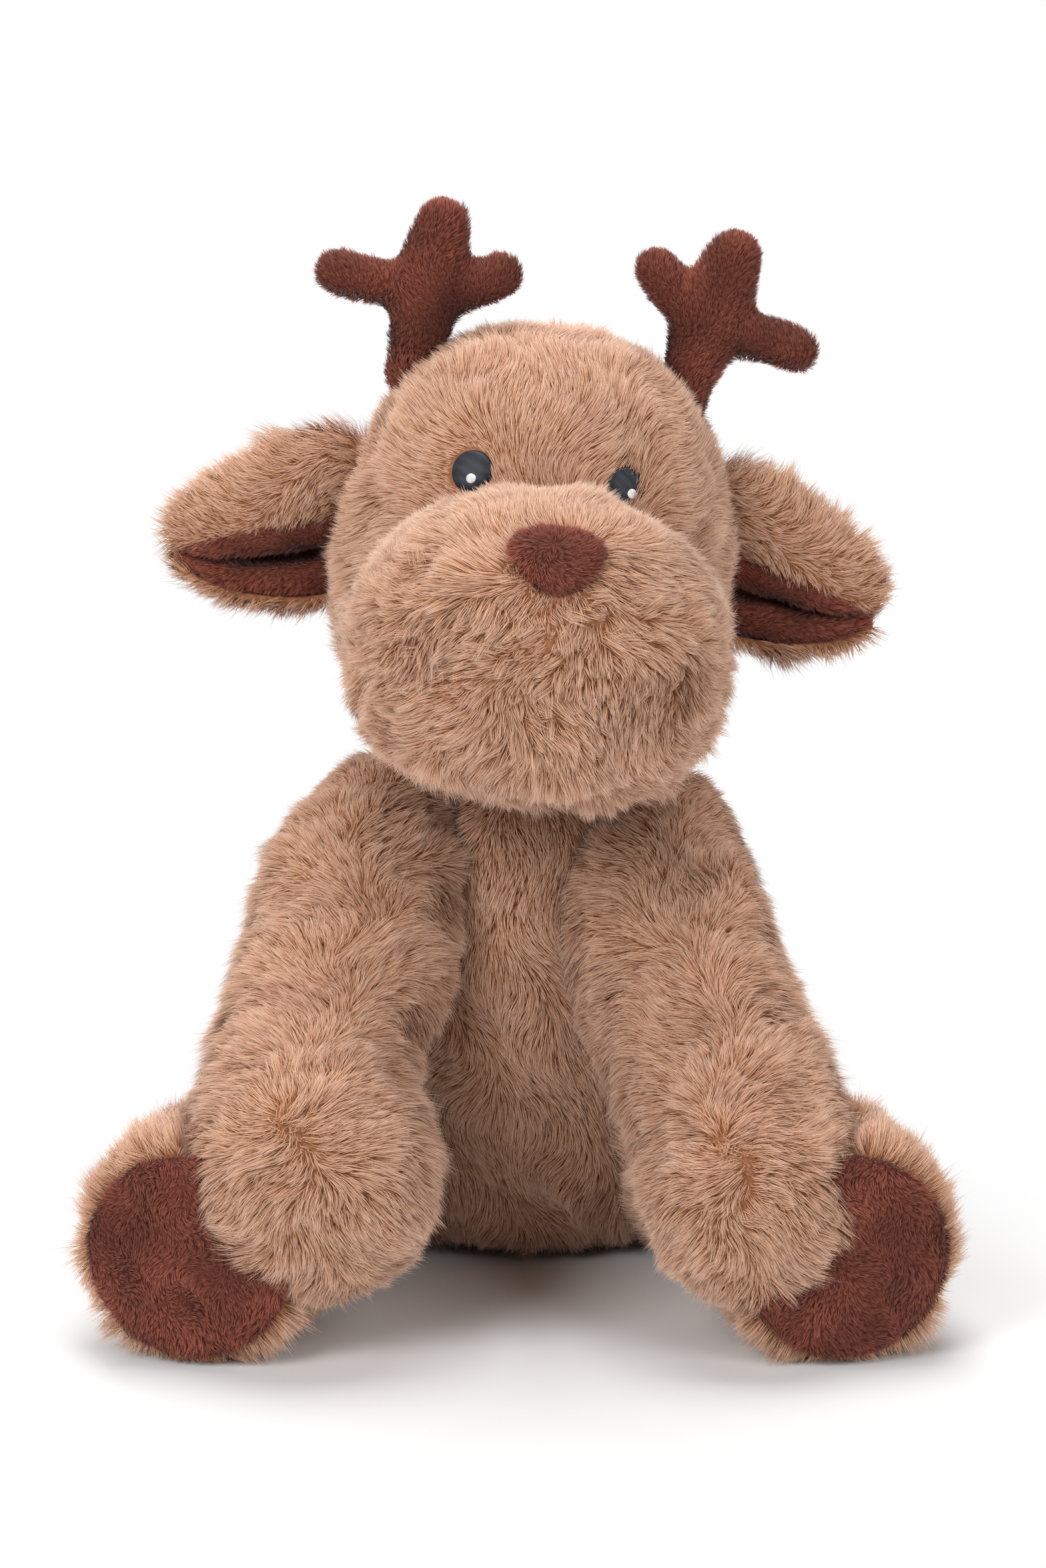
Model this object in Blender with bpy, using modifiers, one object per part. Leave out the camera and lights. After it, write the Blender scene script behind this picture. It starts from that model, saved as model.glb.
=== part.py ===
"""A sitting plush deer, 0.28 m to the antler tips.

The deer sits on the flat of its seat and faces -Y; left and right are its own. Every stuffed piece is
a sewn skin, open where it is sewn to its neighbour, over a separate body of filling. The head turns
and nods on a firm ball of neck filling, the arms lift at the shoulders, the legs spread at the hips,
and the ears and antlers bend at their seams.
"""

import math

import bmesh
import bpy
from mathutils import Matrix, Vector

# Cloth and clearances, in metres
GAP = 0.0003
SKIN = 0.0022
ANTLER_SKIN = 0.0014
SEAT_FLAT = 0.0005

# Body: a pear that stands on its seat
BODY_HEIGHT = 0.136
BODY_HALF_WIDTH = 0.053
BODY_HALF_DEPTH = 0.046
BODY_SHARES = (  # up, out
    (-0.01, 0.52),
    (0.03, 0.82),
    (0.16, 1.0),
    (0.42, 0.99),
    (0.66, 0.86),
    (0.83, 0.66),
    (0.94, 0.44),
    (1.0, 0.20),
)

# Pellet pouch in the seat
POUCH_HALF_WIDTH = 0.034
POUCH_HALF_DEPTH = 0.029
POUCH_HALF_HEIGHT = 0.011
POUCH_LIFT = 0.0120

# Neck ball between body and head
NECK_BACK = 0.004
NECK_HEIGHT = 0.135
NECK_RADIUS = 0.021

# Head: skull centre over the seat, and how it leans at rest
SKULL_HEIGHT = 0.187
SKULL_BACK = 0.002
SKULL_HALF_WIDTH = 0.0525
SKULL_HALF_DEPTH = 0.049
SKULL_RISE = 0.058
SKULL_SHARES = (  # up, out
    (-1.0, 0.24),
    (-0.86, 0.58),
    (-0.50, 0.90),
    (-0.12, 1.0),
    (0.28, 0.98),
    (0.62, 0.84),
    (0.88, 0.58),
    (1.0, 0.26),
)
HEAD_ROLL = math.radians(6.0)
HEAD_YAW = math.radians(3.0)

# Muzzle: a deep rounded bulb on the front of the skull
MUZZLE_HALF_WIDTH = 0.0465
MUZZLE_HALF_HEIGHT = 0.0395
MUZZLE_ROOT = 0.012
MUZZLE_REACH = 0.110
MUZZLE_DROP = 0.0100
MUZZLE_SHARES = (  # forward, out, up, lift
    (0.0, 0.86, 0.76, -0.19),
    (0.24, 0.97, 0.89, -0.13),
    (0.50, 1.0, 1.0, -0.06),
    (0.72, 0.94, 0.98, 0.02),
    (0.90, 0.72, 0.80, 0.01),
    (1.0, 0.36, 0.42, 0.0),
)

# Nose: a rounded triangle on the upper front of the muzzle
NOSE_HALF_WIDTH = 0.0148
NOSE_HALF_HEIGHT = 0.0112
NOSE_THICKNESS = 0.0055
NOSE_FORWARD = 0.1050
NOSE_RISE = 0.0148
NOSE_TILT = math.radians(40.0)
NOSE_SHARES = ((-1.0, 0.62), (-0.55, 1.0), (0.55, 1.0), (1.0, 0.62), (0.42, -0.48), (-0.42, -0.48))

# Eyes: embroidered discs with a pale glint
EYE_RADIUS = 0.0056
EYE_THICKNESS = 0.0034
EYE_APART = 0.0200
EYE_RISE = 0.0260
GLINT_RADIUS = 0.0013
GLINT_SIDE = 0.0004
GLINT_DROP = 0.0010
GLINT_SINK = 0.0002

# Antlers: flat stuffed tines on a ball-ended stem
ANTLER_APART = 0.0360
ANTLER_RISE = 0.0430
ANTLER_BACK = 0.006
ANTLER_HEIGHT = 0.0450
ANTLER_HALF_WIDTH = 0.0068
ANTLER_HALF_THICKNESS = 0.0062
ANTLER_BALL = 0.0070
ANTLER_OUT_REACH = 0.0300
ANTLER_IN_REACH = 0.0225
LEFT_ANTLER_LEAN = math.radians(14.0)
RIGHT_ANTLER_LEAN = math.radians(6.0)
STEM_SHARES = ((0.0, 0.98), (0.42, 1.38), (0.86, 1.0), (1.0, 0.60))
TINE_SHARES = ((0.0, 0.80), (0.78, 0.88), (1.0, 0.52))
OUT_TINE_RISE_SHARES = (0.42, 0.42)
IN_TINE_RISE_SHARES = (0.34, 0.67)

# Ears: a folded leaf of fur fabric over a short-pile lining
EAR_LENGTH = 0.0470
EAR_HALF_HEIGHT = 0.0235
EAR_HALF_FOLD = 0.0078
EAR_CLOTH = 0.0032
EAR_LINING = 0.0016
EAR_ROOT_OUT = 0.0490
EAR_ROOT_RISE = 0.0045
EAR_ROOT_BACK = 0.004
EAR_DROOP = math.radians(9.0)
EAR_FOLD_FROM = math.radians(-72.0)
EAR_FOLD_TO = math.radians(182.0)
EAR_SHARES = (  # along, half height, half fold, sag
    (0.0, 0.96, 0.80, 0.0),
    (0.18, 1.0, 0.98, 0.02),
    (0.40, 0.92, 1.05, 0.05),
    (0.62, 0.78, 1.0, 0.08),
    (0.80, 0.60, 0.86, 0.10),
    (0.93, 0.42, 0.66, 0.12),
    (1.0, 0.24, 0.42, 0.13),
)
EAR_PANELS = 11

# Arms: from a ball in the shoulder down and forward to a heavier paw
LEFT_SHOULDER_OUT = 0.0320
RIGHT_SHOULDER_OUT = 0.0380
SHOULDER_FORWARD = 0.006
LEFT_SHOULDER_HEIGHT = 0.106
RIGHT_SHOULDER_HEIGHT = 0.1095
SHOULDER_RADIUS = 0.0225
ARM_RADIUS = 0.0255
ARM_FORWARD = 0.1010
LEFT_ARM_DROP = 0.0655
RIGHT_ARM_DROP = 0.0650
LEFT_ARM_SPREAD = 0.0195
RIGHT_ARM_SPREAD = 0.0160
LEFT_PAW_SHARE = 1.06
RIGHT_PAW_SHARE = 1.24
ARM_SHARES = (  # forward, down, out, radius
    (0.0, 0.0, 0.0, 0.90),
    (0.16, 0.16, 0.22, 1.04),
    (0.38, 0.42, 0.55, 1.07),
    (0.62, 0.70, 0.85, 1.03),
)
PAW_SHARES = (  # forward, down, out, radius
    (0.83, 0.88, 1.0, 1.02),
    (1.02, 1.03, 1.03, 1.0),
    (1.15, 1.12, 1.03, 0.72),
    (1.20, 1.15, 1.03, 0.34),
)

# Legs: thick tubes along the ground, splayed, with a flat sole
HIP_OUT = 0.0400
HIP_FORWARD = 0.010
LEG_RADIUS = 0.0290
LEG_REACH = 0.1010
LEFT_LEG_SPREAD = 0.0390
RIGHT_LEG_SPREAD = 0.0460
LEG_SHARES = (  # forward, out, radius
    (-0.16, -0.20, 0.50),
    (-0.06, -0.08, 0.84),
    (0.16, 0.22, 0.98),
    (0.45, 0.56, 0.98),
    (0.72, 0.82, 1.04),
    (0.90, 0.95, 1.10),
    (0.985, 0.99, 1.02),
    (1.0, 1.0, 0.94),
)
SOLE_RADIUS = 0.0262
SOLE_THICKNESS = 0.0030
SOLE_CROWN = 0.0012

# Ranges of the joints that the pieces are cut for; the arms lift forward and a little outward, and
# a paw passes its leg in the first part of that lift
ARM_LIFT = math.radians(40.0)
ARM_LIFT_OUT = math.radians(8.0)
PAW_PASS = math.radians(20.0)
LEG_SPREAD = math.radians(15.0)
EAR_BEND = math.radians(12.0)
ANTLER_BEND = math.radians(12.0)
NOD_UP = math.radians(15.0)
NOD_DOWN = math.radians(8.0)
CLEARING_STEPS = 5

# Sides of the ring cages, and how far the faces of a fine and a coarse ball lie inside its radius
FORM_SIDES = 10
CORE_SIDES = 6
TINE_SIDES = 6
FINE_BALL_SHARE = 0.982
COARSE_BALL_SHARE = 0.93
MARKER_SIZE = 0.009

# Colours as linear values
FUR_TAN = (0.533, 0.323, 0.198, 1.0)
SHORT_PILE_BROWN = (0.147, 0.051, 0.040, 1.0)
EYE_THREAD = (0.022, 0.030, 0.042, 1.0)
GLINT_THREAD = (0.90, 0.90, 0.88, 1.0)
FILLING_WHITE = (0.82, 0.81, 0.78, 1.0)
POUCH_CLOTH = (0.55, 0.50, 0.42, 1.0)

UP = Vector((0.0, 0.0, 1.0))
RIGHTWARD = Vector((1.0, 0.0, 0.0))
FRONT = Vector((0.0, -1.0, 0.0))


def clear_scene():
    for obj in list(bpy.data.objects):
        bpy.data.objects.remove(obj, do_unlink=True)


def new_collection(name):
    collection = bpy.data.collections.new(name)
    bpy.context.scene.collection.children.link(collection)
    return collection


def new_material(name, colour, roughness, metallic=0.0):
    material = bpy.data.materials.new(name)
    material.use_nodes = True
    shader = material.node_tree.nodes["Principled BSDF"]
    shader.inputs["Base Color"].default_value = colour
    shader.inputs["Roughness"].default_value = roughness
    shader.inputs["Metallic"].default_value = metallic
    material.diffuse_color = colour
    return material


def add_object(name, mesh, collection):
    obj = bpy.data.objects.new(name, mesh)
    collection.objects.link(obj)
    return obj


def apply_modifiers(obj):
    bpy.context.view_layer.update()
    graph = bpy.context.evaluated_depsgraph_get()
    mesh = bpy.data.meshes.new_from_object(obj.evaluated_get(graph))
    old = obj.data
    obj.modifiers.clear()
    obj.data = mesh
    bpy.data.meshes.remove(old)
    return obj


def cut(obj, cutter, operation="DIFFERENCE"):
    """Cuts or joins one object with another and applies it."""
    modifier = obj.modifiers.new("Boolean", "BOOLEAN")
    modifier.operation = operation
    modifier.solver = "EXACT"
    modifier.object = cutter
    return apply_modifiers(obj)


def copy_of(obj, name, collection, swell=0.0, place=None):
    """A cutter with the shape of an object, its surface moved out by swell."""
    mesh = obj.data.copy()
    mesh.transform(obj.matrix_world)
    if place is not None:
        mesh.transform(place)
    if swell:
        shift = [vertex.normal * swell for vertex in mesh.vertices]
        for vertex, move in zip(mesh.vertices, shift):
            vertex.co += move
    twin = add_object(name, mesh, collection)
    twin.hide_render = True
    twin.display_type = "WIRE"
    return twin


def neighbour_places(neighbour, pivot, axis, least, most, cutters):
    """Copies of a neighbour, a gap larger, where it stands to a piece that turns through its range."""
    copies = []
    for step in range(CLEARING_STEPS + 1):
        angle = least + (most - least) * step / CLEARING_STEPS
        turn = Matrix.Rotation(-angle, 4, axis)
        place = Matrix.Translation(pivot) @ turn @ Matrix.Translation(-pivot)
        copies.append(copy_of(neighbour, "clearing", cutters, GAP, place))
    return copies


def clear_of(pieces, neighbour, pivot, axis, least, most, cutters):
    """Cuts pieces clear of a neighbour at each place of their range."""
    for cutter in neighbour_places(neighbour, pivot, axis, least, most, cutters):
        for piece in pieces:
            cut(piece, cutter)
        drop_objects(cutter)


def clear_of_round(pieces, places, cutters):
    """Cuts pieces clear of all the places of a convex neighbour with one smooth hollow."""
    bm = bmesh.new()
    for copy in places:
        bm.from_mesh(copy.data)
        drop_objects(copy)
    hull = bmesh.ops.convex_hull(bm, input=bm.verts)
    inside = {item for item in hull["geom_interior"] + hull["geom_unused"]}
    bmesh.ops.delete(bm, geom=[item for item in inside if item in bm.verts], context="VERTS")
    loose = [face for face in bm.faces if face not in hull["geom"]]
    bmesh.ops.delete(bm, geom=loose, context="FACES_ONLY")
    bmesh.ops.recalc_face_normals(bm, faces=bm.faces)
    mesh = bpy.data.meshes.new("hollow")
    bm.to_mesh(mesh)
    bm.free()
    cutter = add_object("hollow", mesh, cutters)
    for piece in pieces:
        cut(piece, cutter)
    drop_objects(cutter)


def ring_cage(rings, sides):
    """A closed cage through rings of (centre, half axis, half axis), sized to subdivide back to them."""
    fill_share = (3.0 + math.cos(math.tau / sides)) / 4.0
    mesh = bpy.data.meshes.new("cage")
    bm = bmesh.new()
    loops = []
    for centre, across, along in rings:
        loop = []
        for side in range(sides):
            turn = math.tau * (side + 0.5) / sides
            spoke = across * math.cos(turn) + along * math.sin(turn)
            loop.append(bm.verts.new(centre + spoke / fill_share))
        loops.append(loop)
    for low, high in zip(loops, loops[1:]):
        for side in range(sides):
            after = (side + 1) % sides
            bm.faces.new((low[side], low[after], high[after], high[side]))
    bm.faces.new(loops[0][::-1])
    bm.faces.new(loops[-1])
    bmesh.ops.recalc_face_normals(bm, faces=bm.faces)
    bm.to_mesh(mesh)
    bm.free()
    return mesh


def soft_form(name, rings, collection, sides=FORM_SIDES):
    """A soft stuffed form from a coarse cage and subdivision."""
    obj = add_object(name, ring_cage(rings, sides), collection)
    smooth = obj.modifiers.new("Subdivision", "SUBSURF")
    smooth.levels = 1
    smooth.render_levels = 1
    return apply_modifiers(obj)


def ball(name, centre, radius, collection, fineness=3):
    bpy.ops.mesh.primitive_ico_sphere_add(subdivisions=fineness, radius=radius, location=centre)
    obj = bpy.context.object
    obj.name = name
    for owner in list(obj.users_collection):
        owner.objects.unlink(obj)
    collection.objects.link(obj)
    return obj


def face_out(obj):
    """Turns an object's faces outward."""
    bm = bmesh.new()
    bm.from_mesh(obj.data)
    bmesh.ops.recalc_face_normals(bm, faces=bm.faces)
    bm.to_mesh(obj.data)
    bm.free()
    return obj


def socket_radius(radius, facet_share=FINE_BALL_SHARE):
    """A faceted socket that a faceted ball of this radius turns in without touching."""
    return (radius + GAP) / facet_share


def wear(obj, material):
    obj.data.materials.clear()
    obj.data.materials.append(material)
    obj.data.shade_smooth()
    return obj


def hang(pieces, empty):
    bpy.context.view_layer.update()
    for piece in pieces:
        piece.parent = empty
        piece.matrix_parent_inverse = empty.matrix_world.inverted()


def joint_empty(name, place, collection):
    empty = bpy.data.objects.new(name, None)
    empty.location = place
    empty.empty_display_size = MARKER_SIZE
    collection.objects.link(empty)
    return empty


def flat_cut(obj, level=0.0):
    """Takes off what lies under a level plane."""
    reach = BODY_HEIGHT * 4.0
    bpy.ops.mesh.primitive_cube_add(size=reach, location=(0.0, 0.0, level - reach / 2.0))
    ground = bpy.context.object
    cut(obj, ground)
    bpy.data.objects.remove(ground, do_unlink=True)
    return obj


def seat_drop(obj):
    """How far a form moves down so that the ground cuts it flat."""
    lowest = min((obj.matrix_world @ vertex.co).z for vertex in obj.data.vertices)
    return -SEAT_FLAT - lowest


def side_name(sign):
    """The deer's own side: its left is at +X."""
    return "left" if sign > 0 else "right"


# Rings of the stuffed forms; inset shrinks a form for its cavity and its filling


def body_rings(inset):
    rings = []
    for up, out in BODY_SHARES:
        wide = max(BODY_HALF_WIDTH * out - inset, inset)
        deep = max(BODY_HALF_DEPTH * out - inset, inset)
        height = inset + (BODY_HEIGHT - 2.0 * inset) * up
        rings.append((UP * height, RIGHTWARD * wide, -FRONT * deep))
    return rings


def skull_rings(inset):
    rings = []
    for up, out in SKULL_SHARES:
        wide = (SKULL_HALF_WIDTH - inset) * out
        deep = (SKULL_HALF_DEPTH - inset) * out
        rings.append((UP * (SKULL_RISE - inset) * up, RIGHTWARD * wide, -FRONT * deep))
    return rings


def muzzle_rings(inset, back=0.0):
    """Rings of the muzzle; back lengthens the root so that it opens into the skull."""
    rings = []
    for forward, out, up, lift in MUZZLE_SHARES:
        wide = (MUZZLE_HALF_WIDTH - inset) * out
        high = (MUZZLE_HALF_HEIGHT - inset) * up
        reach = MUZZLE_ROOT + (MUZZLE_REACH - inset - MUZZLE_ROOT) * forward
        rise = MUZZLE_HALF_HEIGHT * lift - MUZZLE_DROP
        rings.append((FRONT * reach + UP * rise, RIGHTWARD * wide, UP * high))
    centre, across, along = rings[0]
    rings[0] = (centre - FRONT * back, across, along)
    return rings


def path_rings(centres, radii):
    """Round rings square to a path."""
    rings = []
    for index, (centre, radius) in enumerate(zip(centres, radii)):
        before = centres[max(index - 1, 0)]
        after = centres[min(index + 1, len(centres) - 1)]
        along = (after - before).normalized()
        across = along.cross(UP).normalized()
        upward = across.cross(along)
        rings.append((centre, across * radius, upward * radius))
    return rings


def arm_rings(sign, inset, back=0.0):
    """Rings of one arm; back lengthens the root so that it opens into the body."""
    drop = LEFT_ARM_DROP if sign > 0 else RIGHT_ARM_DROP
    spread = LEFT_ARM_SPREAD if sign > 0 else RIGHT_ARM_SPREAD
    paw_share = LEFT_PAW_SHARE if sign > 0 else RIGHT_PAW_SHARE
    shoulder = shoulder_place(sign)
    centres, radii = [], []
    for forward, down, out, size in ARM_SHARES:
        centres.append(shoulder + arm_step(sign, forward, down, out, drop, spread))
        radii.append(ARM_RADIUS * size - inset)
    for forward, down, out, size in PAW_SHARES:
        centres.append(shoulder + arm_step(sign, forward, down, out, drop, spread))
        radii.append(ARM_RADIUS * size * paw_share - inset)
    tip = (centres[-1] - centres[-2]).normalized()
    centres[-1] = centres[-1] - tip * inset
    centres[0] = centres[0] + (centres[0] - centres[1]).normalized() * back
    return path_rings(centres, radii)


def arm_step(sign, forward, down, out, drop, spread):
    return FRONT * ARM_FORWARD * forward - UP * drop * down + RIGHTWARD * sign * spread * out


def arm_axis(sign):
    """The line that an arm lifts about, through its shoulder."""
    return Vector((-math.cos(ARM_LIFT_OUT), -math.sin(ARM_LIFT_OUT) * sign, 0.0))


def shoulder_place(sign):
    height = LEFT_SHOULDER_HEIGHT if sign > 0 else RIGHT_SHOULDER_HEIGHT
    out = LEFT_SHOULDER_OUT if sign > 0 else RIGHT_SHOULDER_OUT
    return Vector((sign * out, -SHOULDER_FORWARD, height))


def hip_place(sign):
    return Vector((sign * HIP_OUT, -HIP_FORWARD, LEG_RADIUS))


def leg_line(sign, inset=0.0):
    """The centres of a leg's rings, from the hip to the sole."""
    spread = LEFT_LEG_SPREAD if sign > 0 else RIGHT_LEG_SPREAD
    centres = []
    for forward, out, size in LEG_SHARES:
        step = FRONT * (LEG_REACH - inset) * forward + RIGHTWARD * sign * spread * out
        centres.append(hip_place(sign) + step)
    return centres


def leg_rings(sign, inset, back=0.0):
    """Rings of one leg; back lengthens the root so that it opens into the body."""
    centres = leg_line(sign, inset)
    radii = [LEG_RADIUS * size - inset for forward, out, size in LEG_SHARES]
    centres[0] = centres[0] + (centres[0] - centres[1]).normalized() * back
    return path_rings(centres, radii)


def neck_place():
    return Vector((0.0, NECK_BACK, NECK_HEIGHT))


def head_frame():
    """The skull's centre and lean; the head's pieces are made level in this frame."""
    turn = Matrix.Rotation(HEAD_YAW, 4, "Z") @ Matrix.Rotation(HEAD_ROLL, 4, "Y")
    return Matrix.Translation(Vector((0.0, SKULL_BACK, SKULL_HEIGHT))) @ turn


def apply_place(obj):
    """Writes an object's place and scale into its mesh."""
    bpy.context.view_layer.update()
    obj.data.transform(obj.matrix_world)
    obj.matrix_world = Matrix.Identity(4)
    return obj


def drop_objects(*objects):
    for obj in objects:
        bpy.data.objects.remove(obj, do_unlink=True)


def build_body(parts, cutters, looks):
    skin = soft_form("body_skin", body_rings(0.0), parts)
    cavity = soft_form("body_cavity", body_rings(SKIN), cutters, CORE_SIDES)
    filling = soft_form("body_filling", body_rings(SKIN + GAP), parts, CORE_SIDES)
    drop = seat_drop(skin)
    for piece in (skin, cavity, filling):
        piece.data.transform(Matrix.Translation(UP * drop))
    flat_cut(skin)
    outline = copy_of(skin, "body_outline", cutters)
    flat_cut(cavity, SKIN)
    flat_cut(filling, SKIN + GAP)
    cut(skin, cavity)
    places = [(neck_place(), NECK_RADIUS)]
    places += [(shoulder_place(sign), SHOULDER_RADIUS) for sign in (1.0, -1.0)]
    for place, radius in places:
        socket = ball("socket", place, socket_radius(radius), cutters)
        cut(skin, socket)
        cut(filling, socket)
        drop_objects(socket)
    pouch = ball("pellet_pouch", UP * POUCH_LIFT, 1.0, parts, 2)
    pouch.scale = (POUCH_HALF_WIDTH, POUCH_HALF_DEPTH, POUCH_HALF_HEIGHT)
    flat_cut(apply_place(pouch), SKIN + GAP)
    nest = copy_of(pouch, "pouch_nest", cutters, GAP)
    cut(filling, nest)
    drop_objects(nest, cavity)
    wear(skin, looks["fur"])
    wear(filling, looks["filling"])
    wear(pouch, looks["pouch"])
    return outline, [skin, filling, pouch]


def build_neck(parts, looks):
    return wear(ball("neck_filling", neck_place(), NECK_RADIUS, parts), looks["filling"])


def build_head(parts, cutters, looks, body_outline):
    frame = head_frame()
    skin = soft_form("head_skin", skull_rings(0.0), parts)
    cavity = soft_form("head_cavity", skull_rings(SKIN), cutters, CORE_SIDES)
    filling = soft_form("head_filling", skull_rings(SKIN + GAP), parts, CORE_SIDES)
    muzzle = soft_form("muzzle_skin", muzzle_rings(0.0), parts)
    muzzle_cavity = soft_form("muzzle_cavity", muzzle_rings(SKIN, MUZZLE_ROOT), cutters, CORE_SIDES)
    muzzle_filling = soft_form("muzzle_filling", muzzle_rings(SKIN + GAP), parts, CORE_SIDES)
    for piece in (skin, cavity, filling, muzzle, muzzle_cavity, muzzle_filling):
        piece.matrix_world = frame
    bpy.context.view_layer.update()
    skull_outline = copy_of(skin, "skull_outline", cutters)
    muzzle_outline = copy_of(muzzle, "muzzle_outline", cutters)
    seam = copy_of(skin, "muzzle_seam", cutters, GAP)
    cut(skin, cavity)
    cut(muzzle, muzzle_cavity)
    cut(muzzle, seam)
    cut(muzzle_filling, seam)
    socket = ball("socket", neck_place(), socket_radius(NECK_RADIUS), cutters)
    for piece in (skin, filling):
        cut(piece, socket)
    places = neighbour_places(body_outline, neck_place(), -RIGHTWARD, -NOD_DOWN, NOD_UP, cutters)
    clear_of_round([skin, filling], places, cutters)
    drop_objects(cavity, muzzle_cavity, seam, socket)
    wear(skin, looks["fur"])
    wear(muzzle, looks["fur"])
    wear(filling, looks["filling"])
    wear(muzzle_filling, looks["filling"])
    return skull_outline, muzzle_outline, [skin, filling, muzzle, muzzle_filling]


def build_face(parts, cutters, looks, skull_outline, muzzle_outline):
    """The nose on the muzzle, and each eye with its glint on the skull."""
    frame = head_frame()
    pieces = [build_nose(parts, looks)]
    pieces[0].matrix_world = frame @ nose_frame()
    for sign in (1.0, -1.0):
        pieces += build_eye(sign, parts, cutters, looks, frame)
    for outline in (skull_outline, muzzle_outline):
        cutter = copy_of(outline, "face_line", cutters, GAP)
        for piece in pieces:
            cut(piece, cutter)
        drop_objects(cutter)
    return pieces


def nose_frame():
    place = FRONT * NOSE_FORWARD + UP * NOSE_RISE
    return Matrix.Translation(place) @ Matrix.Rotation(-NOSE_TILT, 4, "X")


def build_nose(parts, looks):
    """A pillow over a triangle with its point down, the front at -Y."""
    rings = []
    bm = bmesh.new()
    for depth, size in ((0.62, 0.72), (0.0, 1.0), (-0.62, 0.72)):
        ring = []
        for across, rise in NOSE_SHARES:
            spot = Vector((across * NOSE_HALF_WIDTH * size, depth * NOSE_THICKNESS, 0.0))
            spot.z = rise * NOSE_HALF_HEIGHT * size
            ring.append(bm.verts.new(spot))
        rings.append(ring)
    count = len(NOSE_SHARES)
    for low, high in zip(rings, rings[1:]):
        for index in range(count):
            after = (index + 1) % count
            bm.faces.new((low[index], low[after], high[after], high[index]))
    bm.faces.new(rings[0][::-1])
    bm.faces.new(rings[-1])
    bmesh.ops.recalc_face_normals(bm, faces=bm.faces)
    mesh = bpy.data.meshes.new("nose")
    bm.to_mesh(mesh)
    bm.free()
    nose = add_object("nose", mesh, parts)
    smooth = nose.modifiers.new("Subdivision", "SUBSURF")
    smooth.levels = 1
    smooth.render_levels = 1
    return wear(apply_modifiers(nose), looks["short_pile"])


def eye_place(sign):
    """A point on the skull's surface at the eye's height."""
    across = EYE_APART / SKULL_HALF_WIDTH
    rise = EYE_RISE / SKULL_RISE
    depth = SKULL_HALF_DEPTH * math.sqrt(max(0.0, 1.0 - across**2 - rise**2))
    spot = Vector((sign * EYE_APART, -depth, EYE_RISE))
    outward = Vector(
        (
            spot.x / SKULL_HALF_WIDTH**2,
            spot.y / SKULL_HALF_DEPTH**2,
            spot.z / SKULL_RISE**2,
        )
    )
    return spot, outward.normalized()


def build_eye(sign, parts, cutters, looks, frame):
    side = side_name(sign)
    spot, outward = eye_place(sign)
    facing = outward.to_track_quat("Z", "Y").to_matrix().to_4x4()
    eye = ball(side + "_eye", (0.0, 0.0, 0.0), 1.0, parts, 2)
    eye.matrix_world = (
        frame
        @ Matrix.Translation(spot)
        @ facing
        @ Matrix.Diagonal((EYE_RADIUS, EYE_RADIUS, EYE_THICKNESS, 1.0))
    )
    apply_place(eye)
    lift = outward * (EYE_THICKNESS - GLINT_SINK)
    shift = UP * -GLINT_DROP + RIGHTWARD * GLINT_SIDE
    glint = ball(side + "_eye_glint", (0.0, 0.0, 0.0), GLINT_RADIUS, parts, 2)
    glint.matrix_world = frame @ Matrix.Translation(spot + lift + shift)
    apply_place(glint)
    nest = copy_of(eye, "glint_line", cutters, GAP)
    cut(glint, nest)
    drop_objects(nest)
    return [wear(eye, looks["eye"]), wear(glint, looks["glint"])]


def antler_frame(sign):
    """The ball of the stem on the skull, with the lean that the antler stands at."""
    lean = LEFT_ANTLER_LEAN if sign > 0 else RIGHT_ANTLER_LEAN
    place = Vector((sign * ANTLER_APART, ANTLER_BACK, ANTLER_RISE))
    return head_frame() @ Matrix.Translation(place) @ Matrix.Rotation(lean, 4, "Y")


def flat_rings(centres, halves):
    """Rings of a flat stuffed tine that lies in the XZ plane."""
    rings = []
    for index, (centre, half) in enumerate(zip(centres, halves)):
        before = centres[max(index - 1, 0)]
        after = centres[min(index + 1, len(centres) - 1)]
        along = (after - before).normalized()
        across = FRONT.cross(along).normalized()
        thick = half / ANTLER_HALF_WIDTH * ANTLER_HALF_THICKNESS
        rings.append((centre, across * half, FRONT * thick))
    return rings


def stem_rings(inset, back):
    centres = [UP * ANTLER_HEIGHT * rise for rise, size in STEM_SHARES]
    halves = [ANTLER_HALF_WIDTH * size - inset for rise, size in STEM_SHARES]
    centres[-1] = centres[-1] - UP * inset
    centres[0] = centres[0] - UP * back
    return flat_rings(centres, halves)


def tine_rings(way, reach, rise_shares, inset):
    """A side tine; way is the sign of X that it points to."""
    low, high = (ANTLER_HEIGHT * share for share in rise_shares)
    root, tip = UP * low, RIGHTWARD * way * reach + UP * high
    tip -= (tip - root).normalized() * inset
    centres = [root.lerp(tip, along) for along, size in TINE_SHARES]
    halves = [ANTLER_HALF_WIDTH * size - inset for along, size in TINE_SHARES]
    return flat_rings(centres, halves)


def antler_form(name, sign, inset, back, owner, cutters, sides):
    form = soft_form(name, stem_rings(inset, back), owner, sides)
    tines = (
        (sign, ANTLER_OUT_REACH, OUT_TINE_RISE_SHARES),
        (-sign, ANTLER_IN_REACH, IN_TINE_RISE_SHARES),
    )
    for way, reach, rise_shares in tines:
        tine = soft_form("tine", tine_rings(way, reach, rise_shares, inset), cutters, sides)
        cut(form, tine, "UNION")
        drop_objects(tine)
    return form


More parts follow.
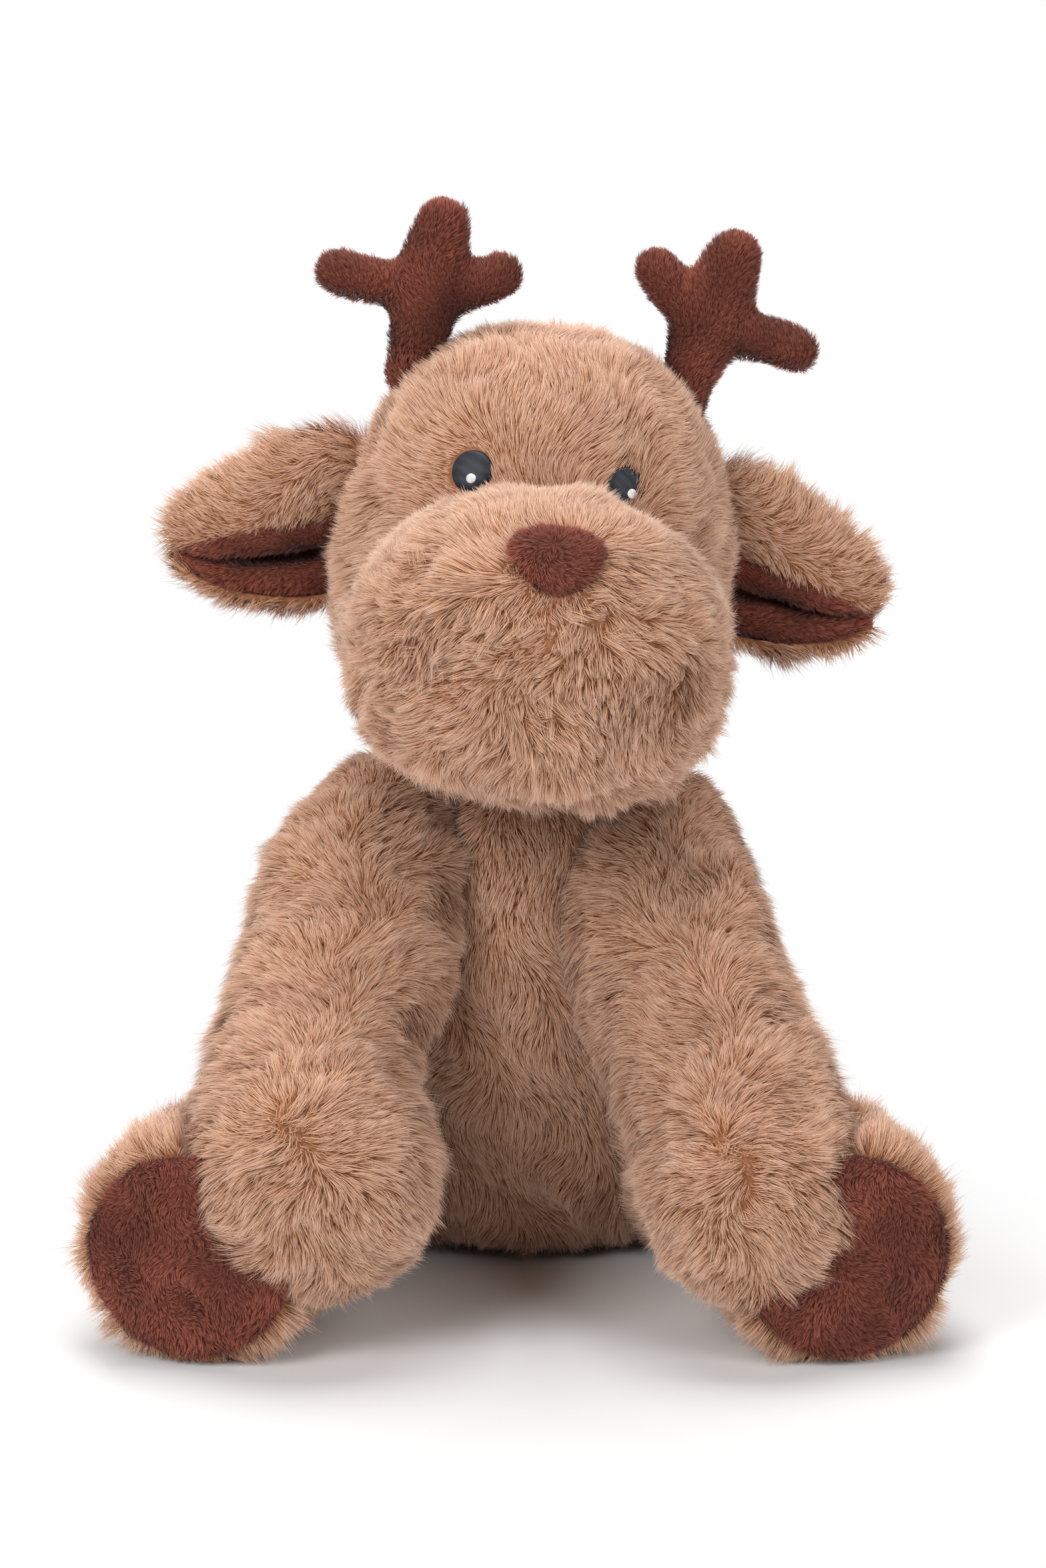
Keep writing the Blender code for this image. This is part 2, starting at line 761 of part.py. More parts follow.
def build_antler(sign, parts, cutters, looks, skull_outline, head_pieces):
    side = side_name(sign)
    frame = antler_frame(sign)
    root = ANTLER_BALL * 0.5
    skin = antler_form(side + "_antler_skin", sign, 0.0, root, parts, cutters, TINE_SIDES)
    inset = ANTLER_SKIN + GAP
    way_in = ANTLER_BALL * 2.0
    cavity = antler_form("antler_cavity", sign, ANTLER_SKIN, way_in, cutters, cutters, TINE_SIDES)
    filling = antler_form(side + "_antler_filling", sign, inset, 0.0, parts, cutters, TINE_SIDES)
    for piece in (skin, cavity, filling):
        piece.matrix_world = frame
    bpy.context.view_layer.update()
    place = frame.translation
    axis = frame.to_3x3() @ FRONT
    clear_of([skin, filling], skull_outline, place, axis, -ANTLER_BEND, ANTLER_BEND, cutters)
    knob = ball("antler_ball", place, ANTLER_BALL, cutters, 2)
    cut(skin, knob, "UNION")
    cut(skin, cavity)
    socket = ball("antler_socket", place, socket_radius(ANTLER_BALL, COARSE_BALL_SHARE), cutters, 2)
    for piece in head_pieces:
        cut(piece, socket)
    drop_objects(cavity, knob, socket)
    return [wear(skin, looks["short_pile"]), wear(filling, looks["filling"])]


def ear_frame(sign):
    place = Vector((sign * EAR_ROOT_OUT, EAR_ROOT_BACK, EAR_ROOT_RISE))
    return head_frame() @ Matrix.Translation(place) @ Matrix.Rotation(sign * EAR_DROOP, 4, "Y")


def ear_leaf(name, sign, inset, thickness, parts):
    """A leaf folded over its top edge: the fold runs outward, its open side faces down and front."""
    bm = bmesh.new()
    rows = []
    for along, high, fold, sag in EAR_SHARES:
        half_high = EAR_HALF_HEIGHT * high - inset
        half_fold = EAR_HALF_FOLD * fold - inset
        out = (EAR_LENGTH - inset) * along
        row = []
        for panel in range(EAR_PANELS + 1):
            turn = EAR_FOLD_FROM + (EAR_FOLD_TO - EAR_FOLD_FROM) * panel / EAR_PANELS
            spot = Vector((sign * out, half_fold * math.cos(turn), half_high * math.sin(turn)))
            spot.z -= EAR_LENGTH * sag
            row.append(bm.verts.new(spot))
        rows.append(row)
    for low, high in zip(rows, rows[1:]):
        for panel in range(EAR_PANELS):
            corners = (low[panel], high[panel], high[panel + 1], low[panel + 1])
            bm.faces.new(corners if sign < 0 else corners[::-1])
    mesh = bpy.data.meshes.new(name)
    bm.to_mesh(mesh)
    bm.free()
    leaf = add_object(name, mesh, parts)
    shell = leaf.modifiers.new("Solidify", "SOLIDIFY")
    shell.thickness = thickness
    shell.offset = 1.0 if inset == 0.0 else -1.0
    return leaf


def build_ear(sign, parts, cutters, looks, skull_outline):
    side = side_name(sign)
    frame = ear_frame(sign)
    outer = ear_leaf(side + "_ear_outer", sign, 0.0, EAR_CLOTH, parts)
    lining = ear_leaf(side + "_ear_lining", sign, GAP * 1.5, EAR_LINING, parts)
    for piece in (outer, lining):
        face_out(apply_modifiers(piece))
        piece.matrix_world = frame
    bpy.context.view_layer.update()
    axis = frame.to_3x3() @ UP
    place = frame.translation
    clear_of([outer, lining], skull_outline, place, axis, -EAR_BEND, EAR_BEND, cutters)
    return [wear(outer, looks["fur"]), wear(lining, looks["short_pile"])]


def build_arm(sign, parts, cutters, looks, body_outline):
    side = side_name(sign)
    pivot = shoulder_place(sign)
    skin = soft_form(side + "_arm_skin", arm_rings(sign, 0.0), parts)
    cavity = soft_form("arm_cavity", arm_rings(sign, SKIN, SHOULDER_RADIUS), cutters, CORE_SIDES)
    filling = soft_form(side + "_arm_filling", arm_rings(sign, SKIN + GAP), parts, CORE_SIDES)
    places = neighbour_places(body_outline, pivot, arm_axis(sign), 0.0, ARM_LIFT, cutters)
    clear_of_round([skin, filling], places, cutters)
    shoulder = ball("shoulder_ball", pivot, SHOULDER_RADIUS, cutters)
    cut(skin, shoulder, "UNION")
    cut(skin, cavity)
    drop_objects(cavity, shoulder)
    wear(skin, looks["fur"])
    wear(filling, looks["filling"])
    return [skin, filling]


def build_leg(sign, parts, cutters, looks, body_outline):
    side = side_name(sign)
    pivot, line = hip_place(sign), leg_line(sign)
    way = (line[-1] - line[-3]).normalized()
    skin = soft_form(side + "_leg_skin", leg_rings(sign, 0.0), parts)
    cavity = soft_form("leg_cavity", leg_rings(sign, SKIN, LEG_RADIUS), cutters, CORE_SIDES)
    filling = soft_form(side + "_leg_filling", leg_rings(sign, SKIN + GAP), parts, CORE_SIDES)
    drop = seat_drop(skin)
    for piece in (skin, cavity, filling):
        piece.data.transform(Matrix.Translation(UP * drop))
    flat_cut(skin)
    flat_cut(filling, SKIN + GAP)
    flat_cut(cavity, SKIN)
    facing = way.to_track_quat("Z", "Y").to_matrix().to_4x4()
    front = max((vertex.co - line[-1]).dot(way) for vertex in skin.data.vertices)
    centre = line[-1] + way * (front + GAP + SOLE_THICKNESS / 2.0) + UP * drop
    sole = ball(side + "_sole", (0.0, 0.0, 0.0), 1.0, parts, 3)
    sole.matrix_world = (
        Matrix.Translation(centre)
        @ facing
        @ Matrix.Diagonal((SOLE_RADIUS, SOLE_RADIUS, SOLE_THICKNESS + SOLE_CROWN, 1.0))
    )
    apply_place(sole)
    sole_line = copy_of(skin, "sole_line", cutters, GAP)
    cut(sole, sole_line)
    cut(skin, cavity)
    pieces = [skin, filling, sole]
    arm_outline = soft_form("arm_outline", arm_rings(sign, 0.0), cutters)
    shoulder = shoulder_place(sign)
    body_places = neighbour_places(body_outline, pivot, UP * sign, 0.0, LEG_SPREAD, cutters)
    arm_places = neighbour_places(arm_outline, pivot, UP * sign, 0.0, LEG_SPREAD, cutters)
    arm_places += neighbour_places(arm_outline, shoulder, arm_axis(sign), -PAW_PASS, 0.0, cutters)
    clear_of_round(pieces, body_places, cutters)
    clear_of_round(pieces, arm_places, cutters)
    drop_objects(cavity, sole_line, arm_outline)
    wear(skin, looks["fur"])
    wear(filling, looks["filling"])
    wear(sole, looks["short_pile"])
    return pieces


def main():
    clear_scene()
    parts = new_collection("plush_deer")
    cutters = new_collection("cutters")
    looks = {
        "fur": new_material("tan_fur", FUR_TAN, 0.9),
        "short_pile": new_material("brown_short_pile", SHORT_PILE_BROWN, 0.85),
        "eye": new_material("eye_thread", EYE_THREAD, 0.6),
        "glint": new_material("glint_thread", GLINT_THREAD, 0.6),
        "filling": new_material("filling_fibre", FILLING_WHITE, 0.95),
        "pouch": new_material("pouch_cloth", POUCH_CLOTH, 0.9),
    }
    body_outline, body_pieces = build_body(parts, cutters, looks)
    neck = build_neck(parts, looks)
    skull_outline, muzzle_outline, head_pieces = build_head(parts, cutters, looks, body_outline)
    face = build_face(parts, cutters, looks, skull_outline, muzzle_outline)
    neck_empty = joint_empty("neck_joint", neck_place(), parts)
    hang([neck], neck_empty)
    for sign in (1.0, -1.0):
        antler = build_antler(sign, parts, cutters, looks, skull_outline, head_pieces[:2])
        hang(antler, joint_empty(side_name(sign) + "_antler_joint", antler_frame(sign).translation, parts))
        ear = build_ear(sign, parts, cutters, looks, skull_outline)
        hang(ear, joint_empty(side_name(sign) + "_ear_joint", ear_frame(sign).translation, parts))
        arm = build_arm(sign, parts, cutters, looks, body_outline)
        hang(arm, joint_empty(side_name(sign) + "_shoulder_joint", shoulder_place(sign), parts))
        leg = build_leg(sign, parts, cutters, looks, body_outline)
        hang(leg, joint_empty(side_name(sign) + "_hip_joint", hip_place(sign), parts))
    hang(head_pieces + face, neck_empty)


main()
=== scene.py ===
"""A sitting plush deer: stuffed skins shaped by pressure, long fur and short pile as real strands."""

import itertools
import math

import bmesh
import bpy
import numpy as np
from mathutils import Matrix, Vector
from mathutils.bvhtree import BVHTree
from mathutils.kdtree import KDTree


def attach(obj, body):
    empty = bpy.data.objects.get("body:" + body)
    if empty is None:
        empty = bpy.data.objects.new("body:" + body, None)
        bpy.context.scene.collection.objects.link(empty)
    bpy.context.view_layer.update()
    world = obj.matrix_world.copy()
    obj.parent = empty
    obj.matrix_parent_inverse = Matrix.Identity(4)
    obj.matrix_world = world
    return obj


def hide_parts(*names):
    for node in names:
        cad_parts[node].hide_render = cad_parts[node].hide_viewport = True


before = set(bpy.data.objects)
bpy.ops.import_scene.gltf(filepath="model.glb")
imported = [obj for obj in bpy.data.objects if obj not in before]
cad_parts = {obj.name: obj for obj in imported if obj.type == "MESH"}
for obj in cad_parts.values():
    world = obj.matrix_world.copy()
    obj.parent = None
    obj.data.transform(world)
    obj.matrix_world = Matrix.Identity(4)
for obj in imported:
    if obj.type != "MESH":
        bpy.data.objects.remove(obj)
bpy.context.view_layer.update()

MM = 0.001
UP = Vector((0.0, 0.0, 1.0))
FRONT = Vector((0.0, -1.0, 0.0))
OUTWARD = Vector((1.0, 0.0, 0.0))

SIDES = {"left": 1.0, "right": -1.0}

# ---- Where the pieces sit and turn, in millimetres; shoulders, hips and neck are the joints' own places
HEAD_CENTRE = (0.0, 2.0, 187.0)
HEAD_YAW = math.radians(3.0)
HEAD_ROLL = math.radians(6.0)
NOD_DOWN, NOD_UP = math.radians(-8.0), math.radians(15.0)
NECK_BALL = ((0.0, 4.0, 135.0), 21.0)
SHOULDERS = {"left": (32.0, -6.0, 106.0), "right": (-38.0, -6.0, 109.5)}
SHOULDER_BALL = 22.5
ARM_LIFT = math.radians(40.0)
ARM_LIFT_OUT = math.radians(8.0)
HIPS = {"left": (40.0, -10.0, 29.0), "right": (-40.0, -10.0, 29.0)}
PAW_PASS = math.radians(20.0)  # how far a paw lifts beside its leg before it is clear
LEG_SPREAD = math.radians(15.0)
ANTLERS = {  # from the head's centre, and how each leans
    "left": ((36.0, 6.0, 43.0), math.radians(14.0)),
    "right": ((-36.0, 6.0, 43.0), math.radians(6.0)),
}
ANTLER_BALL = 7.0
ANTLER_BEND = math.radians(12.0)
EARS = {"left": (49.0, 4.0, 4.5), "right": (-49.0, 4.0, 4.5)}
EAR_DROOP = math.radians(9.0)
EAR_CLEARING = math.radians(12.0) / 4.0  # a soft root gives way to most of the ear's bend
NOSE_PLACE = (-0.9, -102.8, 16.6)
NOSE_TILT = math.radians(40.0)
EYE_APART = 20.0
EYE_RISE = 26.0
EYE_RADIUS = 5.6
SEAM_GAP = 0.4
SWEEP_STEPS = 5  # places of a turn at which a hollow clears its neighbour
PASS_STEPS = 3


def mm(point):
    return Vector(point) * MM


def head_place():
    turn = Matrix.Rotation(HEAD_YAW, 4, "Z") @ Matrix.Rotation(HEAD_ROLL, 4, "Y")
    return Matrix.Translation(mm(HEAD_CENTRE)) @ turn


# ---- Camera, daylight and floor, in metres

CAMERA_PLACE = (-0.0021, -1.45544, 0.48568)
CAMERA_TARGET = (-0.0021, 0.0, 0.1228)
CAMERA_LENS = 128.6
DEER_MIDDLE = (0.0, 0.0, 0.12)
AMBIENT = 0.12
WINDOWS = (  # place, size, watts
    ("key_window", (-0.88, -1.12, 0.95), 0.8, 16.0),
    ("top_window", (0.0, 0.12, 1.50), 0.9, 15.0),
    ("fill_window", (1.0, -1.1, 0.80), 0.9, 9.5),
    ("back_window", (-0.4, 1.4, 0.95), 0.9, 10.0),
)
FLOOR_HALF = 6.0
FLOOR_MIDDLE = (0.0, -0.09, 0.0)
FLOOR_FADE = (0.10, 0.20)  # how far from there the paper goes to pure white
WHITE = (1.0, 1.0, 1.0, 1.0)


def aim(obj, target):
    way = Vector(target) - obj.location
    obj.rotation_euler = way.to_track_quat("-Z", "Y").to_euler()


def set_camera():
    camera = bpy.data.objects.new("camera", bpy.data.cameras.new("camera"))
    bpy.context.scene.collection.objects.link(camera)
    camera.location = CAMERA_PLACE
    aim(camera, CAMERA_TARGET)
    camera.data.sensor_fit = "VERTICAL"
    camera.data.sensor_height = 36.0
    camera.data.lens = CAMERA_LENS
    bpy.context.scene.camera = camera


def soft_lamp(name, place, size, watts):
    lamp = bpy.data.objects.new(name, bpy.data.lights.new(name, "AREA"))
    bpy.context.scene.collection.objects.link(lamp)
    lamp.location = place
    aim(lamp, DEER_MIDDLE)
    lamp.data.size = size
    lamp.data.energy = watts


def add(nodes, kind, settings=None, **links):
    """Adds one node with its settings; links gives the outputs and values of its inputs."""
    node = nodes.new(kind)
    for key, value in (settings or {}).items():
        setattr(node, key, value)
    for key, value in links.items():
        name = key.replace("_", " ")
        socket = node.inputs[int(key[1:])] if key[0] == "i" and key[1:].isdigit() else node.inputs[name]
        if isinstance(value, bpy.types.NodeSocket):
            node.id_data.links.new(value, socket)
        else:
            socket.default_value = value
    return node


def linear(hex_colour):
    """An sRGB hex colour as the linear colour that a shader takes."""
    parts = [int(hex_colour[i : i + 2], 16) / 255.0 for i in (1, 3, 5)]
    return tuple(p / 12.92 if p <= 0.04045 else ((p + 0.055) / 1.055) ** 2.4 for p in parts) + (1.0,)


def seen_straight(nodes):
    """1 where the camera or a gloss sees the backdrop itself, 0 where it only lights the deer."""
    path = add(nodes, "ShaderNodeLightPath")
    camera, gloss = path.outputs["Is Camera Ray"], path.outputs["Is Glossy Ray"]
    return add(nodes, "ShaderNodeMath", {"operation": "MAXIMUM"}, i0=camera, i1=gloss).outputs[0]


def set_daylight():
    """Soft windows round the deer, and a white surround that lights it only a little."""
    world = bpy.data.worlds.new("white_studio")
    bpy.context.scene.world = world
    world.use_nodes = True
    nodes = world.node_tree.nodes
    nodes.clear()
    ambient = add(nodes, "ShaderNodeBackground", Color=WHITE, Strength=AMBIENT)
    white = add(nodes, "ShaderNodeBackground", Color=WHITE, Strength=1.0)
    sky = add(nodes, "ShaderNodeMixShader", i0=seen_straight(nodes), i1=ambient.outputs[0], i2=white.outputs[0])
    add(nodes, "ShaderNodeOutputWorld", Surface=sky.outputs[0])
    for name, place, size, watts in WINDOWS:
        soft_lamp(name, place, size, watts)


def lay_floor():
    """White paper: plain and matt near the deer, so that its soft shadow shows, and pure white beyond."""
    mesh = bpy.data.meshes.new("floor")
    corners = [(x * FLOOR_HALF, y * FLOOR_HALF, 0) for x, y in ((-1, -1), (1, -1), (1, 1), (-1, 1))]
    mesh.from_pydata(corners, [], [(0, 1, 2, 3)])
    floor = bpy.data.objects.new("floor", mesh)
    bpy.context.scene.collection.objects.link(floor)
    material = bpy.data.materials.new("matt_white_paper")
    material.use_nodes = True
    nodes = material.node_tree.nodes
    nodes.clear()
    place = add(nodes, "ShaderNodeTexCoord")
    reach = add(nodes, "ShaderNodeVectorMath", {"operation": "DISTANCE"}, i0=place.outputs["Object"], i1=FLOOR_MIDDLE)
    far = add(
        nodes,
        "ShaderNodeMapRange",
        {"interpolation_type": "SMOOTHSTEP"},
        Value=reach.outputs["Value"],
        From_Min=FLOOR_FADE[0],
        From_Max=FLOOR_FADE[1],
    )
    amount = add(nodes, "ShaderNodeMath", {"operation": "MULTIPLY"}, i0=seen_straight(nodes), i1=far.outputs[0])
    matt = add(nodes, "ShaderNodeBsdfDiffuse", Color=linear("#F2F2F2"))
    white = add(nodes, "ShaderNodeEmission", Color=WHITE, Strength=1.0)
    both = add(nodes, "ShaderNodeMixShader", i0=amount.outputs[0], i1=matt.outputs[0], i2=white.outputs[0])
    add(nodes, "ShaderNodeOutputMaterial", Surface=both.outputs[0])
    mesh.materials.append(material)


# ---- Stuffed forms


def new_object(name, mesh):
    obj = bpy.data.objects.new(name, mesh)
    bpy.context.scene.collection.objects.link(obj)
    return obj


def from_bmesh(name, bm):
    mesh = bpy.data.meshes.new(name)
    bm.to_mesh(mesh)
    bm.free()
    return new_object(name, mesh)


def rounded(obj, levels):
    """Rounds an object's form by subdivision, which settle() then writes into its mesh."""
    smooth = obj.modifiers.new("round", "SUBSURF")
    smooth.levels = smooth.render_levels = levels
    return obj


def settle(obj):
    """Writes an object's modifiers and place into its mesh."""
    bpy.context.view_layer.update()
    graph = bpy.context.evaluated_depsgraph_get()
    mesh = bpy.data.meshes.new_from_object(obj.evaluated_get(graph))
    mesh.transform(obj.matrix_world)
    old = obj.data
    obj.modifiers.clear()
    obj.matrix_world = Matrix.Identity(4)
    obj.data = mesh
    bpy.data.meshes.remove(old)
    return obj


def tube(name, rings, sides=20, jowl=1.0):
    """A closed soft tube through rings of (centre, half axis, half axis); a jowl under 1 squares its lower half."""
    bm = bmesh.new()
    loops = []
    for centre, across, along in rings:
        loop = []
        for side in range(sides):
            turn = math.tau * (side + 0.5) / sides
            level, rise = math.cos(turn), math.sin(turn)
            if rise < 0.0:
                level = math.copysign(abs(level) ** jowl, level)
                rise = -(abs(rise) ** jowl)
            spot = centre + across * level + along * rise
            loop.append(bm.verts.new(spot * MM))
        loops.append(loop)
    for low, high in zip(loops, loops[1:]):
        for side in range(sides):
            after = (side + 1) % sides
            bm.faces.new((low[side], low[after], high[after], high[side]))
    bm.faces.new(loops[0][::-1])
    bm.faces.new(loops[-1])
    bmesh.ops.recalc_face_normals(bm, faces=bm.faces)
    return settle(rounded(from_bmesh(name, bm), 1))


def ball(name, centre, radius):
    bm = bmesh.new()
    bmesh.ops.create_icosphere(bm, subdivisions=4, radius=radius * MM)
    obj = from_bmesh(name, bm)
    obj.data.transform(Matrix.Translation(mm(centre)))
    return obj


def drop(*objects):
    for obj in objects:
        bpy.data.objects.remove(obj, do_unlink=True)


def cut_by(obj, cutter, operation="DIFFERENCE"):
    """Cuts an object by another, or joins the two where the operation says so, and drops the other."""
    tool = obj.modifiers.new("cut", "BOOLEAN")
    tool.operation = operation
    tool.solver = "EXACT"
    tool.object = cutter
    settle(obj)
    drop(cutter)
    return obj


def join(obj, *others):
    """Puts the meshes of other objects into the first one."""
    bm = bmesh.new()
    for item in (obj, *others):
        bm.from_mesh(item.data)
    bm.to_mesh(obj.data)
    bm.free()
    drop(*others)
    return obj


def turned(pivot, axis, angle):
    return Matrix.Translation(mm(pivot)) @ Matrix.Rotation(angle, 4, axis) @ Matrix.Translation(-mm(pivot))


def sweep_hollow(neighbour, pivot, axis, least, most, moved=(Matrix.Identity(4),)):
    """One convex hollow round a neighbour, as a piece that turns through its range meets it."""
    bm = bmesh.new()
    for step, shift in itertools.product(range(SWEEP_STEPS + 1), moved):
        place = turned(pivot, axis, -least - (most - least) * step / SWEEP_STEPS) @ shift
        mesh = neighbour.data.copy()
        mesh.transform(place)
        bm.from_mesh(mesh)
        bpy.data.meshes.remove(mesh)
    hull = bmesh.ops.convex_hull(bm, input=bm.verts)
    spare = {item for item in hull["geom_interior"] + hull["geom_unused"]}
    bmesh.ops.delete(bm, geom=[vert for vert in bm.verts if vert in spare], context="VERTS")
    loose = [face for face in bm.faces if face not in hull["geom"]]
    bmesh.ops.delete(bm, geom=loose, context="FACES_ONLY")
    bmesh.ops.recalc_face_normals(bm, faces=bm.faces)
    return from_bmesh("hollow", bm)


def one_skin(obj, voxel):
    """Rebuilds a form, or several joined ones that overlap, as one even closed mesh."""
    remesh = obj.modifiers.new("even", "REMESH")
    remesh.mode = "VOXEL"
    remesh.voxel_size = voxel * MM
    return settle(obj)


CLOTH_PRESSURE = 4.0
CLOTH_FRAMES = 20


def stuff(obj, voxel=4.0, cap=2.5):
    """Blows a sewn skin up over its filling, keeps each point within the cap, and rounds it."""
    one_skin(obj, voxel)
    before = np.empty(len(obj.data.vertices) * 3)
    obj.data.vertices.foreach_get("co", before)
    cloth = obj.modifiers.new("pressure", "CLOTH")
    cloth.settings.use_pressure = True
    cloth.settings.uniform_pressure_force = CLOTH_PRESSURE
    cloth.settings.effector_weights.gravity = 0.0
    cloth.settings.quality = 5
    cloth.point_cache.frame_start = 1
    cloth.point_cache.frame_end = CLOTH_FRAMES
    for step in range(1, CLOTH_FRAMES + 1):
        bpy.context.scene.frame_set(step)
    settle(obj)
    bpy.context.scene.frame_set(1)
    after = np.empty(len(before))
    obj.data.vertices.foreach_get("co", after)
    move = (after - before).reshape(-1, 3)
    far = np.linalg.norm(move, axis=1, keepdims=True)
    move *= np.minimum(1.0, cap * MM / np.maximum(far, 1e-9))
    obj.data.vertices.foreach_set("co", (before.reshape(-1, 3) + move).ravel())
    ease = obj.modifiers.new("ease", "SMOOTH")
    ease.iterations = 3
    settle(rounded(obj, 1))
    for vertex in obj.data.vertices:
        vertex.co.z = max(vertex.co.z, 0.0)
    obj.data.shade_smooth()
    return obj


def path_tube(name, path):
    """A tube through (centre, half width, half height) stations, its width level."""
    centres = [Vector(station[0]) for station in path]
    rings = []
    for index, (centre, wide, high) in enumerate(path):
        before = centres[max(index - 1, 0)]
        after = centres[min(index + 1, len(path) - 1)]
        along = (after - before).normalized()
        across = along.cross(UP).normalized()
        rings.append((Vector(centre), across * wide, across.cross(along) * high))
    return tube(name, rings)


BODY_STATIONS = (  # height, half width, half depth, forward
    (2.0, 30.0, 26.0, 0.0),
    (5.0, 44.0, 38.0, 0.0),
    (22.0, 52.5, 45.5, 0.0),
    (52.0, 52.0, 45.0, 0.0),
    (86.0, 46.0, 40.0, 0.0),
    (108.0, 37.0, 32.0, 0.0),
    (124.0, 27.0, 23.0, -1.0),
    (131.0, 14.0, 12.0, -2.0),
)
SKULL_STATIONS = (  # height, half width, half depth, sideways
    (-57.0, 14.0, 12.0, 0.0),
    (-50.0, 34.0, 30.0, 0.0),
    (-29.0, 50.0, 44.5, -0.5),
    (-7.0, 54.0, 49.0, 0.0),
    (16.0, 50.3, 48.0, 1.2),
    (36.0, 42.8, 41.0, 1.2),
    (51.0, 30.0, 28.5, 1.0),
    (57.5, 13.5, 12.5, 1.0),
)
MUZZLE_STATIONS = (  # forward, half width, half height, rise
    (12.0, 41.0, 30.0, -17.5),
    (35.5, 46.5, 35.0, -15.1),
    (61.0, 48.2, 39.5, -12.4),
    (82.6, 45.6, 38.8, -9.4),
    (100.2, 35.0, 31.8, -9.6),
    (110.0, 17.5, 16.8, -10.0),
)
ARM_RADIUS = 25.5
ARM_FORWARD = 101.0
ARM_BEND = {"left": (65.5, 19.5, 1.06), "right": (65.0, 16.0, 1.24)}  # drop, spread, paw size
ARM_STATIONS = {  # forward, down, out, radius
    "left": ((0.0, -0.03, -0.20, 0.97), (0.16, 0.15, 0.0, 1.06), (0.38, 0.42, 0.38, 1.06), (0.62, 0.70, 0.90, 0.98)),
    "right": ((0.0, -0.04, 0.12, 1.00), (0.16, 0.14, 0.34, 1.08), (0.38, 0.42, 0.66, 1.06), (0.62, 0.70, 1.28, 0.94)),
}
PAW_STATIONS = {
    "left": ((0.83, 0.88, 1.20, 1.0), (1.02, 1.03, 1.24, 1.0), (1.15, 1.12, 1.22, 0.72), (1.20, 1.15, 1.22, 0.34)),
    "right": ((0.83, 0.88, 1.14, 0.98), (1.02, 1.03, 1.08, 1.03), (1.15, 1.12, 1.06, 0.74), (1.20, 1.15, 1.06, 0.35)),
}
LEG_RADIUS = 29.0
LEG_REACH = 104.5
LEG_SPREAD_OUT = {"left": 39.0, "right": 46.0}
LEG_STATIONS = (  # forward, out, radius
    (-0.16, -0.20, 0.50),
    (-0.06, -0.08, 0.84),
    (0.16, 0.22, 0.98),
    (0.45, 0.56, 0.98),
    (0.72, 0.82, 1.04),
    (0.90, 0.95, 1.08),
    (0.985, 0.99, 1.02),
    (1.0, 1.0, 0.94),
)


def body_form():
    rings = [
        (Vector((0.0, -forward, high)), OUTWARD * wide, FRONT * -deep)
        for high, wide, deep, forward in BODY_STATIONS
    ]
    return tube("body_plush", rings)


def skull_form():
    rings = [
        (UP * high + OUTWARD * aside, OUTWARD * wide, FRONT * -deep)
        for high, wide, deep, aside in SKULL_STATIONS
    ]
    skull = tube("head_plush", rings)
    skull.matrix_world = head_place()
    return settle(skull)


def muzzle_form():
    rings = [(FRONT * far + UP * rise, OUTWARD * wide, UP * high) for far, wide, high, rise in MUZZLE_STATIONS]
    muzzle = tube("muzzle_plush", rings, 28, jowl=0.72)
    muzzle.matrix_world = head_place()
    return settle(muzzle)


def arm_form(side):
    fall, spread, paw = ARM_BEND[side]
    path = []
    for stations, size in ((ARM_STATIONS[side], 1.0), (PAW_STATIONS[side], paw)):
        for forward, down, out, radius in stations:
            step = FRONT * ARM_FORWARD * forward - UP * fall * down + OUTWARD * SIDES[side] * spread * out
            radius = ARM_RADIUS * radius * size
            path.append((Vector(SHOULDERS[side]) + step, radius, radius))
    return path_tube(side + "_arm_plush", path)


def leg_path(side):
    path = []
    for forward, out, radius in LEG_STATIONS:
        step = FRONT * LEG_REACH * forward + OUTWARD * SIDES[side] * LEG_SPREAD_OUT[side] * out
        path.append((Vector(HIPS[side]) + step, LEG_RADIUS * radius, LEG_RADIUS * radius))
    return path


def leg_form(side):
    return path_tube(side + "_leg_plush", leg_path(side))


def arm_axis(side):
    return Vector((-math.cos(ARM_LIFT_OUT), -math.sin(ARM_LIFT_OUT) * SIDES[side], 0.0))


def make_body():
    body = body_form()
    for side in SIDES:
        cut_by(body, ball("socket", SHOULDERS[side], SHOULDER_BALL + SEAM_GAP))
    cut_by(body, ball("socket", NECK_BALL[0], NECK_BALL[1] + SEAM_GAP))
    return stuff(body)


def make_neck():
    neck = ball("neck_plush", NECK_BALL[0], NECK_BALL[1] - SEAM_GAP)
    neck.data.shade_smooth()
    return neck


def make_skull(body):
    skull = skull_form()
    cut_by(skull, ball("socket", NECK_BALL[0], NECK_BALL[1] + SEAM_GAP))
    cut_by(skull, sweep_hollow(body, NECK_BALL[0], -OUTWARD, NOD_DOWN, NOD_UP))
    return stuff(skull)


def make_muzzle():
    return stuff(muzzle_form())


def make_arm(side, body):
    arm = arm_form(side)
    cut_by(arm, sweep_hollow(body, SHOULDERS[side], arm_axis(side), 0.0, ARM_LIFT))
    cut_by(arm, ball("root", SHOULDERS[side], SHOULDER_BALL), "UNION")
    return stuff(arm)


def make_leg(side, body):
    leg = leg_form(side)
    paw = arm_form(side)
    lifts = [turned(SHOULDERS[side], arm_axis(side), PAW_PASS * step / PASS_STEPS) for step in range(PASS_STEPS + 1)]
    cut_by(leg, sweep_hollow(body, HIPS[side], UP * SIDES[side], 0.0, LEG_SPREAD))
    cut_by(leg, sweep_hollow(paw, HIPS[side], UP * SIDES[side], 0.0, LEG_SPREAD, lifts))
    drop(paw)
    return stuff(leg)


# ---- Antlers, ears, nose, eyes and soles

